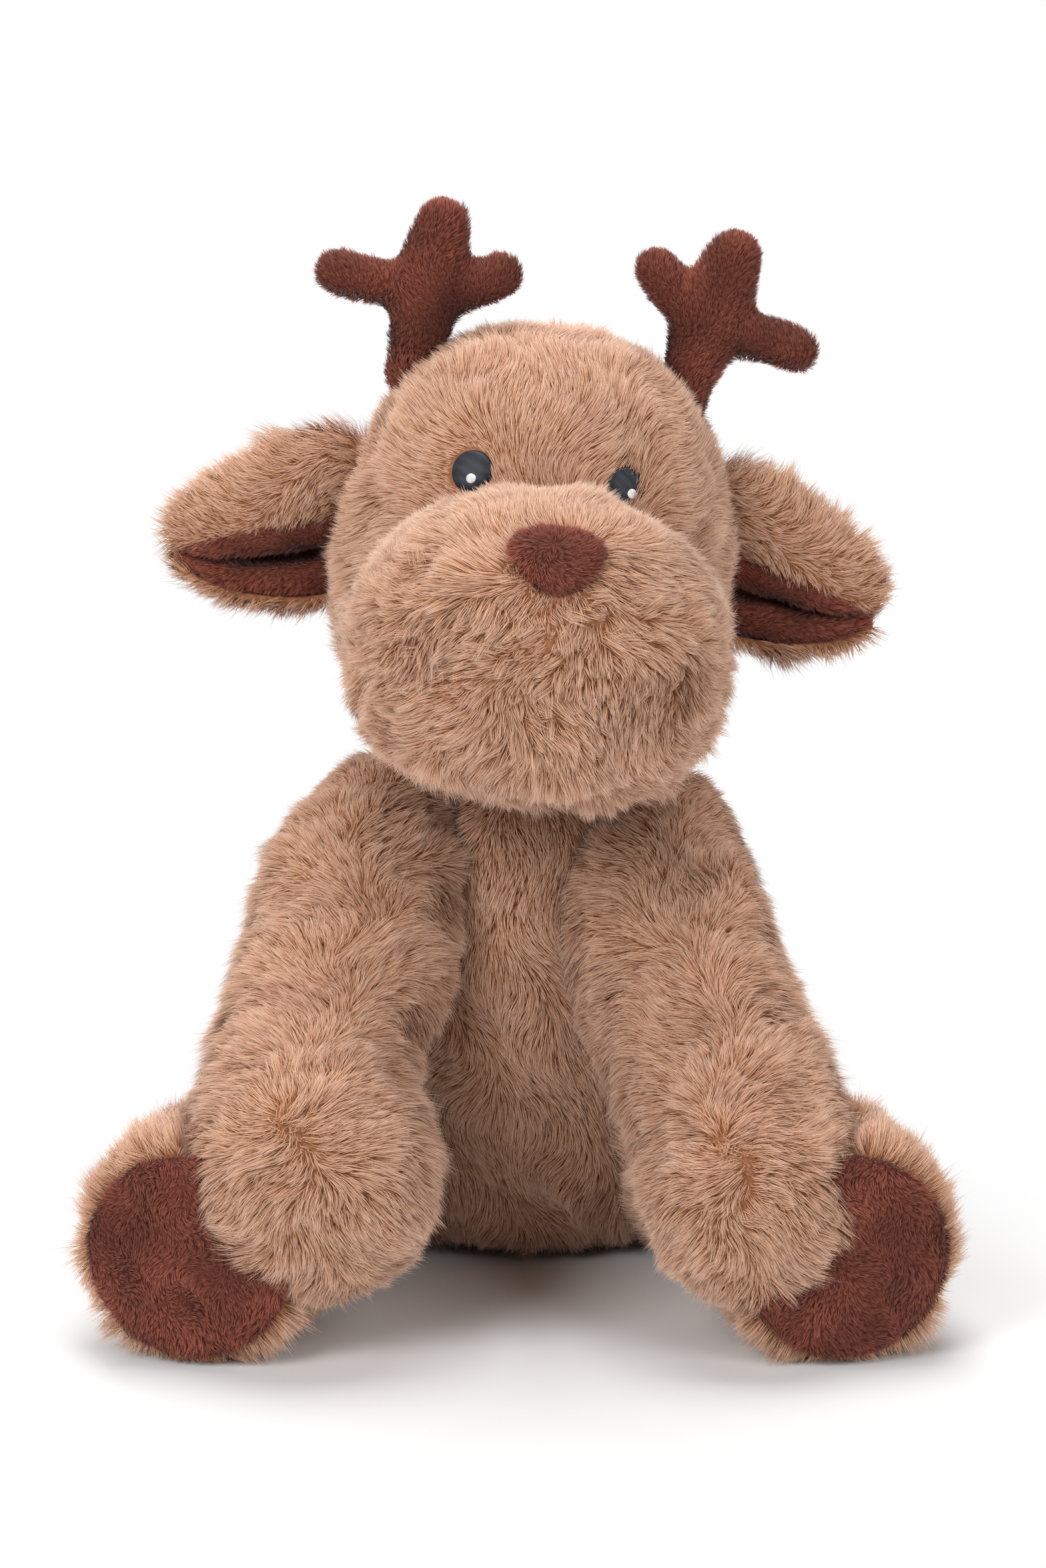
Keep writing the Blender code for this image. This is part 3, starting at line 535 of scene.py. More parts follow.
STEM_STATIONS = (  # rise, half width, half thickness
    (-4.0, 6.0, 6.0),
    (5.0, 7.0, 6.4),
    (15.0, 9.4, 7.2),
    (24.5, 10.4, 7.4),
    (33.0, 8.6, 7.0),
    (41.5, 7.4, 6.6),
    (47.0, 4.8, 4.4),
)
ANTLER_VOXEL = 1.8
TINES = (  # way along the deer's own side, root rise, reach, tip rise
    (1.0, 21.5, 30.5, 22.0),
    (-1.0, 18.0, 23.0, 33.0),
)
TINE_STATIONS = ((0.0, 6.2, 5.6), (0.55, 6.0, 5.6), (0.85, 6.3, 5.7), (1.0, 4.1, 3.7))


def antler_place(side):
    centre, lean = ANTLERS[side]
    return head_place() @ Matrix.Translation(mm(centre)) @ Matrix.Rotation(lean, 4, "Y")


def flat_tube(name, path):
    """A tube in the XZ plane through (centre, half width, half thickness) stations."""
    centres = [Vector(station[0]) for station in path]
    rings = []
    for index, (centre, wide, thick) in enumerate(path):
        before = centres[max(index - 1, 0)]
        after = centres[min(index + 1, len(path) - 1)]
        across = FRONT.cross((after - before).normalized()).normalized()
        rings.append((Vector(centre), across * wide, FRONT * thick))
    return tube(name, rings, 12)


def make_antler(side, skull):
    stem = flat_tube(side + "_antler_plush", [(UP * rise, wide, thick) for rise, wide, thick in STEM_STATIONS])
    for way, root, reach, tip in TINES:
        low = UP * root
        high = OUTWARD * SIDES[side] * way * reach + UP * tip
        join(stem, flat_tube("tine", [(low.lerp(high, far), wide, thick) for far, wide, thick in TINE_STATIONS]))
    place = antler_place(side)
    stem.matrix_world = place
    one_skin(stem, ANTLER_VOXEL)
    pivot = place.translation / MM
    cut_by(stem, sweep_hollow(skull, pivot, place.to_3x3() @ FRONT, -ANTLER_BEND, ANTLER_BEND))
    join(stem, ball("root", pivot, ANTLER_BALL))
    return stuff(stem, ANTLER_VOXEL, cap=0.8)


EAR_LENGTH = 47.0
EAR_HALF_HEIGHT = 23.5
EAR_HALF_FOLD = 7.8
EAR_STATIONS = (  # along, half height, half fold, sag
    (-0.16, 0.80, 0.60, -0.01),
    (0.0, 0.94, 0.80, 0.0),
    (0.18, 1.0, 0.98, 0.02),
    (0.40, 0.93, 1.05, 0.05),
    (0.62, 0.79, 1.0, 0.08),
    (0.80, 0.61, 0.86, 0.10),
    (0.93, 0.42, 0.62, 0.12),
    (1.0, 0.22, 0.36, 0.13),
)
EAR_OUTER_LINE = (  # back to front, height: from the edge over the opening round the back to the lower hem
    (-1.02, -0.02),
    (-1.12, 0.28),
    (-0.98, 0.62),
    (-0.50, 0.93),
    (0.15, 1.0),
    (0.80, 0.76),
    (1.08, 0.30),
    (1.08, -0.20),
    (0.88, -0.62),
    (0.35, -0.92),
    (-0.35, -1.0),
    (-0.78, -0.94),
)
EAR_LINING_LINE = (  # the rolled upper lip, the deep fold and the padded lower lip
    (-0.70, 0.26),
    (-0.98, 0.10),
    (-1.28, -0.04),
    (-1.26, -0.20),
    (-0.86, -0.26),
    (-0.20, -0.18),
    (0.50, -0.16),
    (0.68, -0.34),
    (0.30, -0.52),
    (-0.40, -0.56),
    (-0.92, -0.56),
    (-1.02, -0.70),
    (-0.80, -0.82),
    (-0.40, -0.87),
)


def ear_place(side):
    return head_place() @ Matrix.Translation(mm(EARS[side])) @ Matrix.Rotation(SIDES[side] * EAR_DROOP, 4, "Y")


def ear_sheet(name, side, line, thickness, shrink, skull, reach=1.0):
    """A sheet of the ear's cross line swept from the root to the tip, then given its thickness."""
    bm = bmesh.new()
    rows = []
    for along, high, fold, sag in EAR_STATIONS:
        row = []
        for deep, rise in line:
            spot = Vector((SIDES[side] * EAR_LENGTH * along * reach, deep * (EAR_HALF_FOLD * fold - shrink), 0.0))
            spot.z = rise * (EAR_HALF_HEIGHT * high - shrink) - EAR_LENGTH * sag
            row.append(bm.verts.new(spot * MM))
        rows.append(row)
    for low, high in zip(rows, rows[1:]):
        for panel in range(len(line) - 1):
            corners = (low[panel], high[panel], high[panel + 1], low[panel + 1])
            bm.faces.new(corners if SIDES[side] < 0 else corners[::-1])
    leaf = from_bmesh(name, bm)
    shell = leaf.modifiers.new("cloth", "SOLIDIFY")
    shell.thickness = thickness * MM
    shell.offset = 0.0
    leaf.matrix_world = ear_place(side)
    settle(leaf)
    settle(rounded(leaf, 2))
    place = ear_place(side)
    cut_by(leaf, sweep_hollow(skull, place.translation / MM, place.to_3x3() @ UP, -EAR_CLEARING, EAR_CLEARING))
    leaf.data.shade_smooth()
    return leaf


NOSE_OUTLINE = ((-1.0, 0.40), (-0.58, 0.96), (0.0, 1.10), (0.58, 0.96), (1.0, 0.40), (0.26, -0.85), (-0.26, -0.85))
NOSE_HALF = (14.8, 10.0, 5.5)
NOSE_RINGS = ((0.85, 0.60), (0.35, 0.98), (-0.35, 0.98), (-0.85, 0.60))  # depth, size


def make_nose():
    """A pillow over a rounded triangle with its point down."""
    wide, high, thick = NOSE_HALF
    bm = bmesh.new()
    rings = []
    for depth, size in NOSE_RINGS:
        ring = [Vector((x * wide * size, depth * thick, z * high * size)) * MM for x, z in NOSE_OUTLINE]
        rings.append([bm.verts.new(spot) for spot in ring])
    count = len(NOSE_OUTLINE)
    for low, high_ring in zip(rings, rings[1:]):
        for index in range(count):
            after = (index + 1) % count
            bm.faces.new((low[index], low[after], high_ring[after], high_ring[index]))
    bm.faces.new(rings[0][::-1])
    bm.faces.new(rings[-1])
    bmesh.ops.recalc_face_normals(bm, faces=bm.faces)
    nose = rounded(from_bmesh("nose_plush", bm), 3)
    nose.matrix_world = head_place() @ Matrix.Translation(mm(NOSE_PLACE)) @ Matrix.Rotation(-NOSE_TILT, 4, "X")
    settle(nose)
    nose.data.shade_smooth()
    return nose


def dome(name, place, half_wide, half_high, thick, rings=10, sides=40):
    """A shallow dome with a rounded rim, facing +Z of its place."""
    bm = bmesh.new()
    loops = []
    for ring in range(rings + 1):
        turn = math.pi * (ring + 0.5) / (rings + 1)
        flat = math.sin(turn) ** 0.75
        loop = []
        for side in range(sides):
            spin = math.tau * side / sides
            across, up = math.cos(spin) * flat * half_wide, math.sin(spin) * flat * half_high
            loop.append(bm.verts.new(Vector((across, up, math.cos(turn) * thick)) * MM))
        loops.append(loop)
    for low, high in zip(loops, loops[1:]):
        for side in range(sides):
            after = (side + 1) % sides
            bm.faces.new((low[side], high[side], high[after], low[after]))
    bm.faces.new(loops[0])
    bm.faces.new(loops[-1][::-1])
    bmesh.ops.recalc_face_normals(bm, faces=bm.faces)
    obj = from_bmesh(name, bm)
    obj.matrix_world = place
    settle(obj)
    obj.data.shade_smooth()
    return obj


def surface_of(obj):
    return BVHTree.FromObject(obj, bpy.context.evaluated_depsgraph_get())


def face_spot(skin, aside, rise):
    """The point of the face that far sideways and up from the head's centre, and the way it faces."""
    start = head_place() @ mm((aside, -150.0, rise))
    return surface_of(skin).ray_cast(start, head_place().to_3x3() @ -FRONT)[:2]


def eye_place(side, skull_skin):
    spot, outward = face_spot(skull_skin, SIDES[side] * EYE_APART, EYE_RISE)
    return Matrix.Translation(spot) @ outward.to_track_quat("Z", "Y").to_matrix().to_4x4()


SOLE_PROUD = 1.5


def sole_place(side):
    path = leg_path(side)
    way = (path[-1][0] - path[-3][0]).normalized()
    return Matrix.Translation((path[-1][0] + way * SOLE_PROUD) * MM) @ way.to_track_quat("Z", "Y").to_matrix().to_4x4()


# ---- Fur and pile: real strands that taper to a tip

# density is strands a square centimetre; length and width are in millimetres; rise, lay and scatter are
# shares of the length; tuft is strands to a tuft and pull how far they gather; soft is how much of the
# light falls as on the skin, and patch how far the brightness drifts over the piece, in bands: random tone
# on the fur, and on the short pile random tone together with painted sheen streaks
SMOOTH_FUR = {
    "density": 400.0,
    "length": 5.9,
    "width": 0.20,
    "rise": 0.46,
    "lay": 0.74,
    "scatter": 0.13,
    "tuft": 12,
    "pull": 0.45,
    "soft": 0.70,
    "patch": 2.4,
}
TUFTED_FUR = {
    "density": 430.0,
    "length": 5.9,
    "width": 0.20,
    "rise": 0.52,
    "lay": 0.68,
    "scatter": 0.20,
    "tuft": 14,
    "pull": 0.58,
    "soft": 0.68,
    "patch": 2.4,
}
CURLED_FUR = {
    "density": 430.0,
    "length": 5.6,
    "width": 0.20,
    "rise": 0.56,
    "lay": 0.62,
    "scatter": 0.24,
    "tuft": 18,
    "pull": 0.70,
    "soft": 0.62,
    "patch": 2.4,
}
SHORT_PILE = {
    "density": 700.0,
    "length": 1.9,
    "width": 0.19,
    "rise": 0.62,
    "lay": 0.75,
    "scatter": 0.20,
    "tuft": 10,
    "pull": 0.60,
    "soft": 0.40,
    # on the pile this drift is partly painted sheen streaks
    "patch": 4.5,
}
MUZZLE_TURN = 4.0  # millimetres over the head's centre, where the muzzle's fur turns to tufts
STEPS = np.array([0.0, 0.5, 1.0])
MOST_STRANDS = 60000  # in one piece; a larger one is split into rows from front to back
SHADES = 64
BANDS = 16
WAVES = 6  # in a ripple
PARTING = 0.55  # where less of the way than this lies along the surface, the fur is tousled
LOWEST = 0.25  # millimetres over the ground
TAPER = 0.8  # a strand's width half way up


def unit(vectors):
    return vectors / np.maximum(np.linalg.norm(vectors, axis=1, keepdims=True), 1e-9)


def roots_on(base, density, rng):
    """Points spread evenly over a piece, in millimetres, with the way its surface faces there."""
    mesh = base.data
    mesh.calc_loop_triangles()
    corners = np.empty(len(mesh.loop_triangles) * 3, dtype=np.int32)
    mesh.loop_triangles.foreach_get("vertices", corners)
    corners = corners.reshape(-1, 3)
    spots = np.empty(len(mesh.vertices) * 3)
    mesh.vertices.foreach_get("co", spots)
    spots = spots.reshape(-1, 3) / MM
    facing = np.empty(len(mesh.vertices) * 3)
    mesh.vertices.foreach_get("normal", facing)
    facing = facing.reshape(-1, 3)
    a, b, c = (spots[corners[:, corner]] for corner in range(3))
    area = np.linalg.norm(np.cross(b - a, c - a), axis=1) / 200.0
    number = int(area.sum() * density)
    pick = np.searchsorted(np.cumsum(area) / area.sum(), rng.random(number))
    pick = np.minimum(pick, len(area) - 1)
    u, v = rng.random(number), rng.random(number)
    over = u + v > 1.0
    u[over], v[over] = 1.0 - u[over], 1.0 - v[over]
    share = np.stack([1.0 - u - v, u, v], axis=1)[:, :, None]
    return (spots[corners[pick]] * share).sum(axis=1), unit((facing[corners[pick]] * share).sum(axis=1))


def ripple(points, seed, length):
    """A smooth field about zero that changes over the given length."""
    rng = np.random.default_rng(seed)
    total = np.zeros(len(points))
    for _ in range(WAVES):
        way = unit(rng.normal(size=(1, 3)))[0]
        total += np.sin(points @ way * math.tau / (length * rng.uniform(0.7, 1.4)) + rng.uniform(0.0, math.tau))
    return total / math.sqrt(WAVES / 2.0)


def comb(points, outward, way, seed, swirl, length, rng):
    """The way the strands lie: along the surface, turned by a slow swirl and tousled where the fur would part."""
    flat = way - outward * (way * outward).sum(axis=1, keepdims=True)
    firm = np.linalg.norm(flat, axis=1, keepdims=True) / np.linalg.norm(way, axis=1, keepdims=True)
    firm = np.clip(firm / PARTING, 0.0, 1.0)
    flat = unit(unit(flat) * firm + unit(np.cross(outward, rng.normal(size=points.shape))) * (1.0 - firm))
    turn = (swirl * ripple(points, seed, length))[:, None]
    return flat * np.cos(turn) + np.cross(outward, flat) * np.sin(turn)


def near_tufts(points, seeds):
    """For each point, the nearest of the points that a tuft gathers round."""
    tree = KDTree(len(seeds))
    for index, seed in enumerate(seeds):
        tree.insert(points[seed], index)
    tree.balance()
    return seeds[np.fromiter((tree.find(point)[1] for point in points), dtype=np.int64, count=len(points))]


def grow(name, base, pile, seed, way, swirl=0.5, length_of_swirl=26.0, keep=None, trim=None):
    """Grows strands on a base, in one piece or several; keep says where they are and trim how long."""
    rng = np.random.default_rng(seed)
    points, outward = roots_on(base, pile["density"], rng)
    if keep is not None:
        kept = keep(points, outward)
        points, outward = points[kept], outward[kept]
    count = len(points)
    flat = comb(points, outward, way(points, outward), seed + 1, swirl, length_of_swirl, rng)
    long = pile["length"] * (1.0 + 0.12 * ripple(points, seed + 2, 11.0) + 0.12 * rng.normal(size=count))
    if trim is not None:
        long = long * trim(points, outward)
    rise = np.full(count, pile["rise"]) + 0.10 * ripple(points, seed + 3, 14.0)
    stray = rng.normal(size=(count, 3)) * pile["scatter"]
    paths = np.empty((count, len(STEPS), 3))
    for index, t in enumerate(STEPS):
        lift = outward * (rise * t * (1.15 - 0.15 * t))[:, None]
        drift = flat * (pile["lay"] * (0.40 * t + 0.60 * t * t)) + stray * t
        paths[:, index] = points + (lift + drift) * long[:, None]
    seeds = rng.choice(count, max(count // pile["tuft"], 1), replace=False)
    home = near_tufts(points, seeds)
    pull = pile["pull"] * (0.45 + 0.75 * rng.random(count)[home])
    for index, t in enumerate(STEPS[1:], 1):
        goal = paths[home, index] + 0.30 * (points - points[home])
        share = (pull * t**1.3)[:, None]
        paths[:, index] += (goal - paths[:, index]) * share
    paths[:, :, 2] = np.maximum(paths[:, :, 2], LOWEST)
    parts = count // MOST_STRANDS + 1
    if parts == 1:
        return [strand_mesh(name, points, outward, paths, pile, rng, seed)]
    order = np.argsort(points[:, 1], kind="stable")
    pieces = []
    for part, rows in enumerate(np.array_split(order, parts)):
        piece = strand_mesh(f"{name}_{part + 1}", points[rows], outward[rows], paths[rows], pile, rng, seed)
        pieces.append(piece)
    return pieces


def strand_mesh(name, points, outward, paths, pile, rng, seed):
    """Two tapering panels a strand, with a map that says its shade and how far along each point is."""
    count = len(points)
    tangent = unit(paths[:, 2] - paths[:, 0])
    across = unit(np.cross(tangent, outward) + 1e-6)
    turn = rng.uniform(-0.6, 0.6, size=(count, 1))
    across = across * np.cos(turn) + np.cross(tangent, across) * np.sin(turn)
    across *= np.where((np.cross(across, tangent) * outward).sum(axis=1, keepdims=True) < 0.0, -1.0, 1.0)
    half = across * pile["width"] / 2.0
    verts = np.stack(
        [paths[:, 0] - half, paths[:, 0] + half, paths[:, 1] - half * TAPER, paths[:, 1] + half * TAPER, paths[:, 2]],
        axis=1,
    )
    shade = rng.integers(0, SHADES, count)
    # a slow field of brightness bands: random tone on the fur, random tone and painted sheen streaks on the pile
    band = 7.5 + pile["patch"] * ripple(points, seed + 4, 19.0) + 1.6 * rng.normal(size=count)
    band = np.clip(band, 0, BANDS - 1).astype(int)
    u = (shade[:, None] + 0.5 + np.array([-0.3, 0.3, -0.25, 0.25, 0.0])) / SHADES
    v = (band[:, None] + 0.05 + 0.9 * np.array([0.0, 0.0, 0.5, 0.5, 1.0])) / BANDS
    order = np.array([0, 1, 3, 2, 2, 3, 4])
    mesh = bpy.data.meshes.new(name)
    mesh.vertices.add(count * 5)
    mesh.vertices.foreach_set("co", (verts * MM).ravel())
    mesh.loops.add(count * 7)
    mesh.loops.foreach_set("vertex_index", (np.arange(count)[:, None] * 5 + order).astype(np.int32).ravel())
    mesh.polygons.add(count * 2)
    starts = np.arange(count)[:, None] * 7 + np.array([0, 4])
    mesh.polygons.foreach_set("loop_start", starts.astype(np.int32).ravel())
    spread = mesh.uv_layers.new(name="OFBake")
    spread.data.foreach_set("uv", np.stack([u[:, order], v[:, order]], axis=2).ravel().astype(np.float32))
    mesh.update(calc_edges=True)
    mesh.shade_smooth()
    soft = unit(outward * pile["soft"] + unit(np.cross(across, tangent)) * (1.0 - pile["soft"]))
    lit = mesh.attributes.new("custom_normal", "FLOAT_VECTOR", "POINT")
    lit.data.foreach_set("vector", np.repeat(soft, 5, axis=0).ravel().astype(np.float32))
    return new_object(name, mesh)


# ---- Materials


def new_material(name):
    material = bpy.data.materials.new(name)
    material.use_nodes = True
    nodes = material.node_tree.nodes
    nodes.clear()
    return material, nodes


def ramp(nodes, stops, **links):
    node = add(nodes, "ShaderNodeValToRGB", **links)
    elements = node.color_ramp.elements
    while len(elements) < len(stops):
        elements.new(0.5)
    for element, (place, colour) in zip(elements, stops):
        element.position = place
        element.color = linear(colour)
    return node


def fibre(name, stops, shade_span, band_span, roughness, sheen):
    """Dyed polyester fibre: matt, darker at the root as painted shade deep in the fur, and paler where it thins out to
    the tip, partly its own tone and partly painted highlight.
    """
    material, nodes = new_material(name)
    place = add(nodes, "ShaderNodeUVMap", {"uv_map": "OFBake"})
    split = add(nodes, "ShaderNodeSeparateXYZ", i0=place.outputs[0])
    column = add(nodes, "ShaderNodeMath", {"operation": "MULTIPLY"}, i0=split.outputs[0], i1=float(SHADES))
    column = add(nodes, "ShaderNodeMath", {"operation": "FLOOR"}, i0=column.outputs[0])
    chance = add(nodes, "ShaderNodeTexWhiteNoise", {"noise_dimensions": "1D"}, W=column.outputs[0])
    row = add(nodes, "ShaderNodeMath", {"operation": "MULTIPLY"}, i0=split.outputs[1], i1=float(BANDS))
    band = add(nodes, "ShaderNodeMath", {"operation": "FLOOR"}, i0=row.outputs[0])
    along = add(nodes, "ShaderNodeMath", {"operation": "FRACT"}, i0=row.outputs[0])
    # along each strand: painted shade at the root, paler towards the tip
    colour = ramp(nodes, stops, Fac=along.outputs[0])
    shade = add(
        nodes,
        "ShaderNodeMapRange",
        Value=chance.outputs[0],
        To_Min=1.0 - shade_span,
        To_Max=1.0 + shade_span,
    )
    # brightness by band: random patches of tone, and on the pile painted sheen streaks as well
    depth = add(
        nodes,
        "ShaderNodeMapRange",
        Value=band.outputs[0],
        From_Max=float(BANDS - 1),
        To_Min=1.0 - band_span,
        To_Max=1.0 + band_span,
    )
    value = add(nodes, "ShaderNodeMath", {"operation": "MULTIPLY"}, i0=shade.outputs[0], i1=depth.outputs[0])
    tint = add(nodes, "ShaderNodeHueSaturation", Value=value.outputs[0], Color=colour.outputs[0])
    shader = add(
        nodes,
        "ShaderNodeBsdfPrincipled",
        Base_Color=tint.outputs[0],
        Roughness=roughness,
        Specular_IOR_Level=0.25,
        Sheen_Weight=sheen,
        Sheen_Roughness=0.5,
    )
    add(nodes, "ShaderNodeOutputMaterial", Surface=shader.outputs[0])
    return material


def mottled(name, dark, pale, grain, roughness, depth):
    """Knitted backing cloth: matt and mottled, seen only where the strands part; kept dark like the roots, as painted
    shade between the strands.
    """
    material, nodes = new_material(name)
    place = add(nodes, "ShaderNodeTexCoord")
    noise = add(
        nodes,
        "ShaderNodeTexNoise",
        Vector=place.outputs["Object"],
        Scale=1.0 / (grain * MM),
        Detail=4.0,
        Roughness=0.6,
    )
    colour = ramp(nodes, ((0.3, dark), (0.7, pale)), Fac=noise.outputs[0])
    bump = add(nodes, "ShaderNodeBump", Strength=0.5, Distance=depth * MM, Height=noise.outputs[0])
    shader = add(
        nodes,
        "ShaderNodeBsdfPrincipled",
        Base_Color=colour.outputs[0],
        Roughness=roughness,
        Specular_IOR_Level=0.2,
        Normal=bump.outputs[0],
    )
    add(nodes, "ShaderNodeOutputMaterial", Surface=shader.outputs[0])
    return material


def embroidery(name, dark, pale, thread):
    """Satin stitch in rayon thread: fine parallel ridges with a soft shine."""
    material, nodes = new_material(name)
    place = add(nodes, "ShaderNodeTexCoord")
    ridge = add(
        nodes,
        "ShaderNodeTexWave",
        {"bands_direction": "DIAGONAL"},
        Vector=place.outputs["Object"],
        Scale=1.0 / (thread * MM) / 20.0,
        Distortion=1.5,
        Detail=2.0,
        Detail_Scale=3.0,
    )
    colour = ramp(nodes, ((0.0, dark), (1.0, pale)), Fac=ridge.outputs[1])
    bump = add(nodes, "ShaderNodeBump", Strength=0.6, Distance=0.15 * MM, Height=ridge.outputs[1])
    shader = add(
        nodes,
        "ShaderNodeBsdfPrincipled",
        Base_Color=colour.outputs[0],
        Roughness=0.5,
        Specular_IOR_Level=0.3,
        Normal=bump.outputs[0],
    )
    add(nodes, "ShaderNodeOutputMaterial", Surface=shader.outputs[0])
    return material


# root to tip: the dark, saturated root stops are painted shade deep in the fur and pile; the pale tip stops are partly
# the fibre's own tone and partly painted highlight
FUR_STOPS = ((0.0, "#784323"), (0.30, "#B87F59"), (0.70, "#DCAE90"), (1.0, "#EED2C1"))
PILE_STOPS = ((0.0, "#481F18"), (0.35, "#70362A"), (0.75, "#94513F"), (1.0, "#BC7B69"))
looks = {
    "fur": fibre("long_polyester_fur", FUR_STOPS, 0.12, 0.06, 0.75, 0.25),
    # the wide band spread on the pile carries painted sheen streaks
    "pile": fibre("short_brown_velboa_pile", PILE_STOPS, 0.12, 0.30, 0.8, 0.2),
    # both backings are dark as painted shade where the strands part
    "fur_backing": mottled("tan_knitted_backing", "#8F5B3C", "#B07C5B", 2.2, 0.9, 0.5),
    "pile_backing": mottled("brown_knitted_backing", "#5C2C21", "#784234", 1.2, 0.9, 0.3),
    "eye": embroidery("slate_satin_stitch", "#0B0F14", "#1C242E", 0.35),
    "glint": embroidery("white_satin_stitch", "#D9D9D6", "#F4F4F2", 0.35),
}


# ---- The deer


def wear(obj, look):
    obj.data.materials.clear()
    obj.data.materials.append(looks[look])
    return obj


def fit(piece, body, look, slot, nodes=()):
    """A finished piece: its body, its finish and the solids that it stands for."""
    if isinstance(piece, list):
        for one in piece:
            fit(one, body, look, slot)
        return piece
    wear(piece, look)
    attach(piece, body)
    if nodes:
        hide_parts(*nodes)
    return piece


def away_from(point):
    centre = np.array(point)
    return lambda points, outward: unit(points - centre)


def towards(way):
    return lambda points, outward: np.tile(unit(np.array([way], dtype=float)), (len(points), 1))


def over_head(start):
    """Back from the face over the brow, then down the back of the head."""

    def way(points, outward):
        behind = np.clip((points[:, 1:2] + 2.0) / 22.0, 0.0, 1.0)
        return unit(points - start) * (1.0 - behind) + np.array((0.0, 0.05, -1.0)) * behind

    return way


def over_muzzle(nose_at, lobes):
    """The muzzle's fur parts at the nose and at the crown of each cheek lobe."""

    def way(points, outward):
        lies = unit(points - nose_at)
        for lobe in lobes:
            apart = points - lobe
            near = 0.55 * np.exp(-((np.linalg.norm(apart, axis=1, keepdims=True) / 15.0) ** 2))
            lies = lies * (1.0 - near) + unit(apart) * near
        return lies

    return way


def half_of_muzzle(above):
    """The smooth fur over the muzzle or the tufts under it, which run into each other."""
    inverse = np.array(head_place().inverted())

    def keep(points, outward):
        rise = (points * MM @ inverse[:3, :3].T + inverse[:3, 3])[:, 2] / MM
        return (rise + 6.0 * ripple(points, 5, 8.0) > MUZZLE_TURN) == above

    return keep


def down_arm(side):
    """From a parting along the top of the arm to its sides, and down over the end of the paw."""
    fall, spread, paw = ARM_BEND[side]
    tip = np.array(SHOULDERS[side]) + np.array((SIDES[side] * spread * 1.1, -ARM_FORWARD * 1.15, -fall * 1.15))

    def way(points, outward):
        near = 0.9 * np.exp(-((np.linalg.norm(points - tip, axis=1) / 27.0) ** 2))
        reach = np.clip((SHOULDERS[side][1] - points[:, 1]) / ARM_FORWARD, 0.0, 1.0)
        middle = SHOULDERS[side][0] + SIDES[side] * spread * reach
        aside = np.tanh((points[:, 0] - middle + 5.0 * ripple(points, 9, 17.0)) / 14.0)
        down = 2.0 * np.clip((np.abs(outward[:, 0]) - 0.6) / 0.3, 0.0, 1.0)
        return np.stack([aside, 0.40 - 0.30 * near, -0.05 - 0.95 * np.maximum(near, down)], axis=1)

    return way


def at_shoulder(side):
    """Shorter fur round the shoulder seam."""
    centre = np.array(SHOULDERS[side])

    def trim(points, outward):
        far = np.linalg.norm(points - centre, axis=1)
        return np.clip(0.60 + 0.40 * (far - 20.0) / 22.0, 0.60, 1.0)

    return trim


def along_leg(side):
    """Toward the foot, then outward all round the rim of the sole, where the fur is longest."""
    centre = np.array(sole_place(side).translation) / MM
    forward = np.array(sole_place(side).to_3x3() @ UP)

    def way(points, outward):
        depth = (points - centre) @ forward
        radial = points - centre - depth[:, None] * forward
        return unit(radial) - 0.40 * forward

    def trim(points, outward):
        depth = (points - centre) @ forward
        return 1.0 + 0.35 * np.clip(1.0 + (depth + 2.0) / 10.0, 0.0, 1.0)

    return way, trim


def off_sole(side, radius):
    """Leaves the cloth of the sole bare of long fur."""
    centre = np.array(sole_place(side).translation) / MM
    forward = np.array(sole_place(side).to_3x3() @ UP)

    def keep(points, outward):
        depth = (points - centre) @ forward
        radial = np.linalg.norm(points - centre - depth[:, None] * forward, axis=1)
        return ~((radial < radius) & (depth > -8.0) & (outward @ forward > 0.5))

    return keep


def round_ear(side):
    """Where the ear's fur grows, how long it is and how it lies: short at the opening, a fringe at the hem."""
    place = ear_place(side)
    inverse = np.array(place.inverted())

    def across_ear(points):
        spots = (points * MM @ inverse[:3, :3].T + inverse[:3, 3]) / MM
        middle = -EAR_LENGTH * 0.13 * np.abs(spots[:, 0]) / EAR_LENGTH
        return spots[:, 1] / EAR_HALF_FOLD, (spots[:, 2] - middle) / EAR_HALF_HEIGHT

    def keep(points, outward):
        deep, rise = across_ear(points)
        facing = outward @ inverse[:3, :3].T
        return facing[:, 1] * deep + facing[:, 2] * rise > 0.05

    def trim(points, outward):
        deep, rise = across_ear(points)
        in_front = np.clip(-deep, 0.0, 1.0)
        near = np.clip(1.0 - np.abs(rise) / 0.5, 0.0, 1.0)
        return 1.0 - 0.55 * near * in_front + 0.30 * np.clip((rise - 0.5) / 0.4, 0.0, 1.0)

    def way(points, outward):
        deep, rise = across_ear(points)
        low = np.clip((-rise - 0.45) / 0.3, 0.0, 1.0)
        high = np.clip((rise - 0.55) / 0.3, 0.0, 1.0)
        return np.stack([SIDES[side] * 0.8 + 0.0 * rise, 0.5 - 0.5 * low, 0.5 * high - 1.2 * low], axis=1)

    return keep, trim, way


def clear_round(spots):
    """Keeps fur off each (spot, bare radius, short radius), and shortens it between the two."""

    def keep(points, outward):
        kept = np.ones(len(points), dtype=bool)
        for spot, bare, short in spots:
            kept &= np.linalg.norm(points - spot, axis=1) > bare
        return kept

    def trim(points, outward):
        size = np.ones(len(points))
        for spot, bare, short in spots:
            far = np.linalg.norm(points - spot, axis=1)
            size = np.minimum(size, np.clip(0.35 + 0.65 * (far - bare) / (short - bare), 0.35, 1.0))
        return size

    return keep, trim


def both(first, second):
    return lambda points, outward: first(points, outward) & second(points, outward)


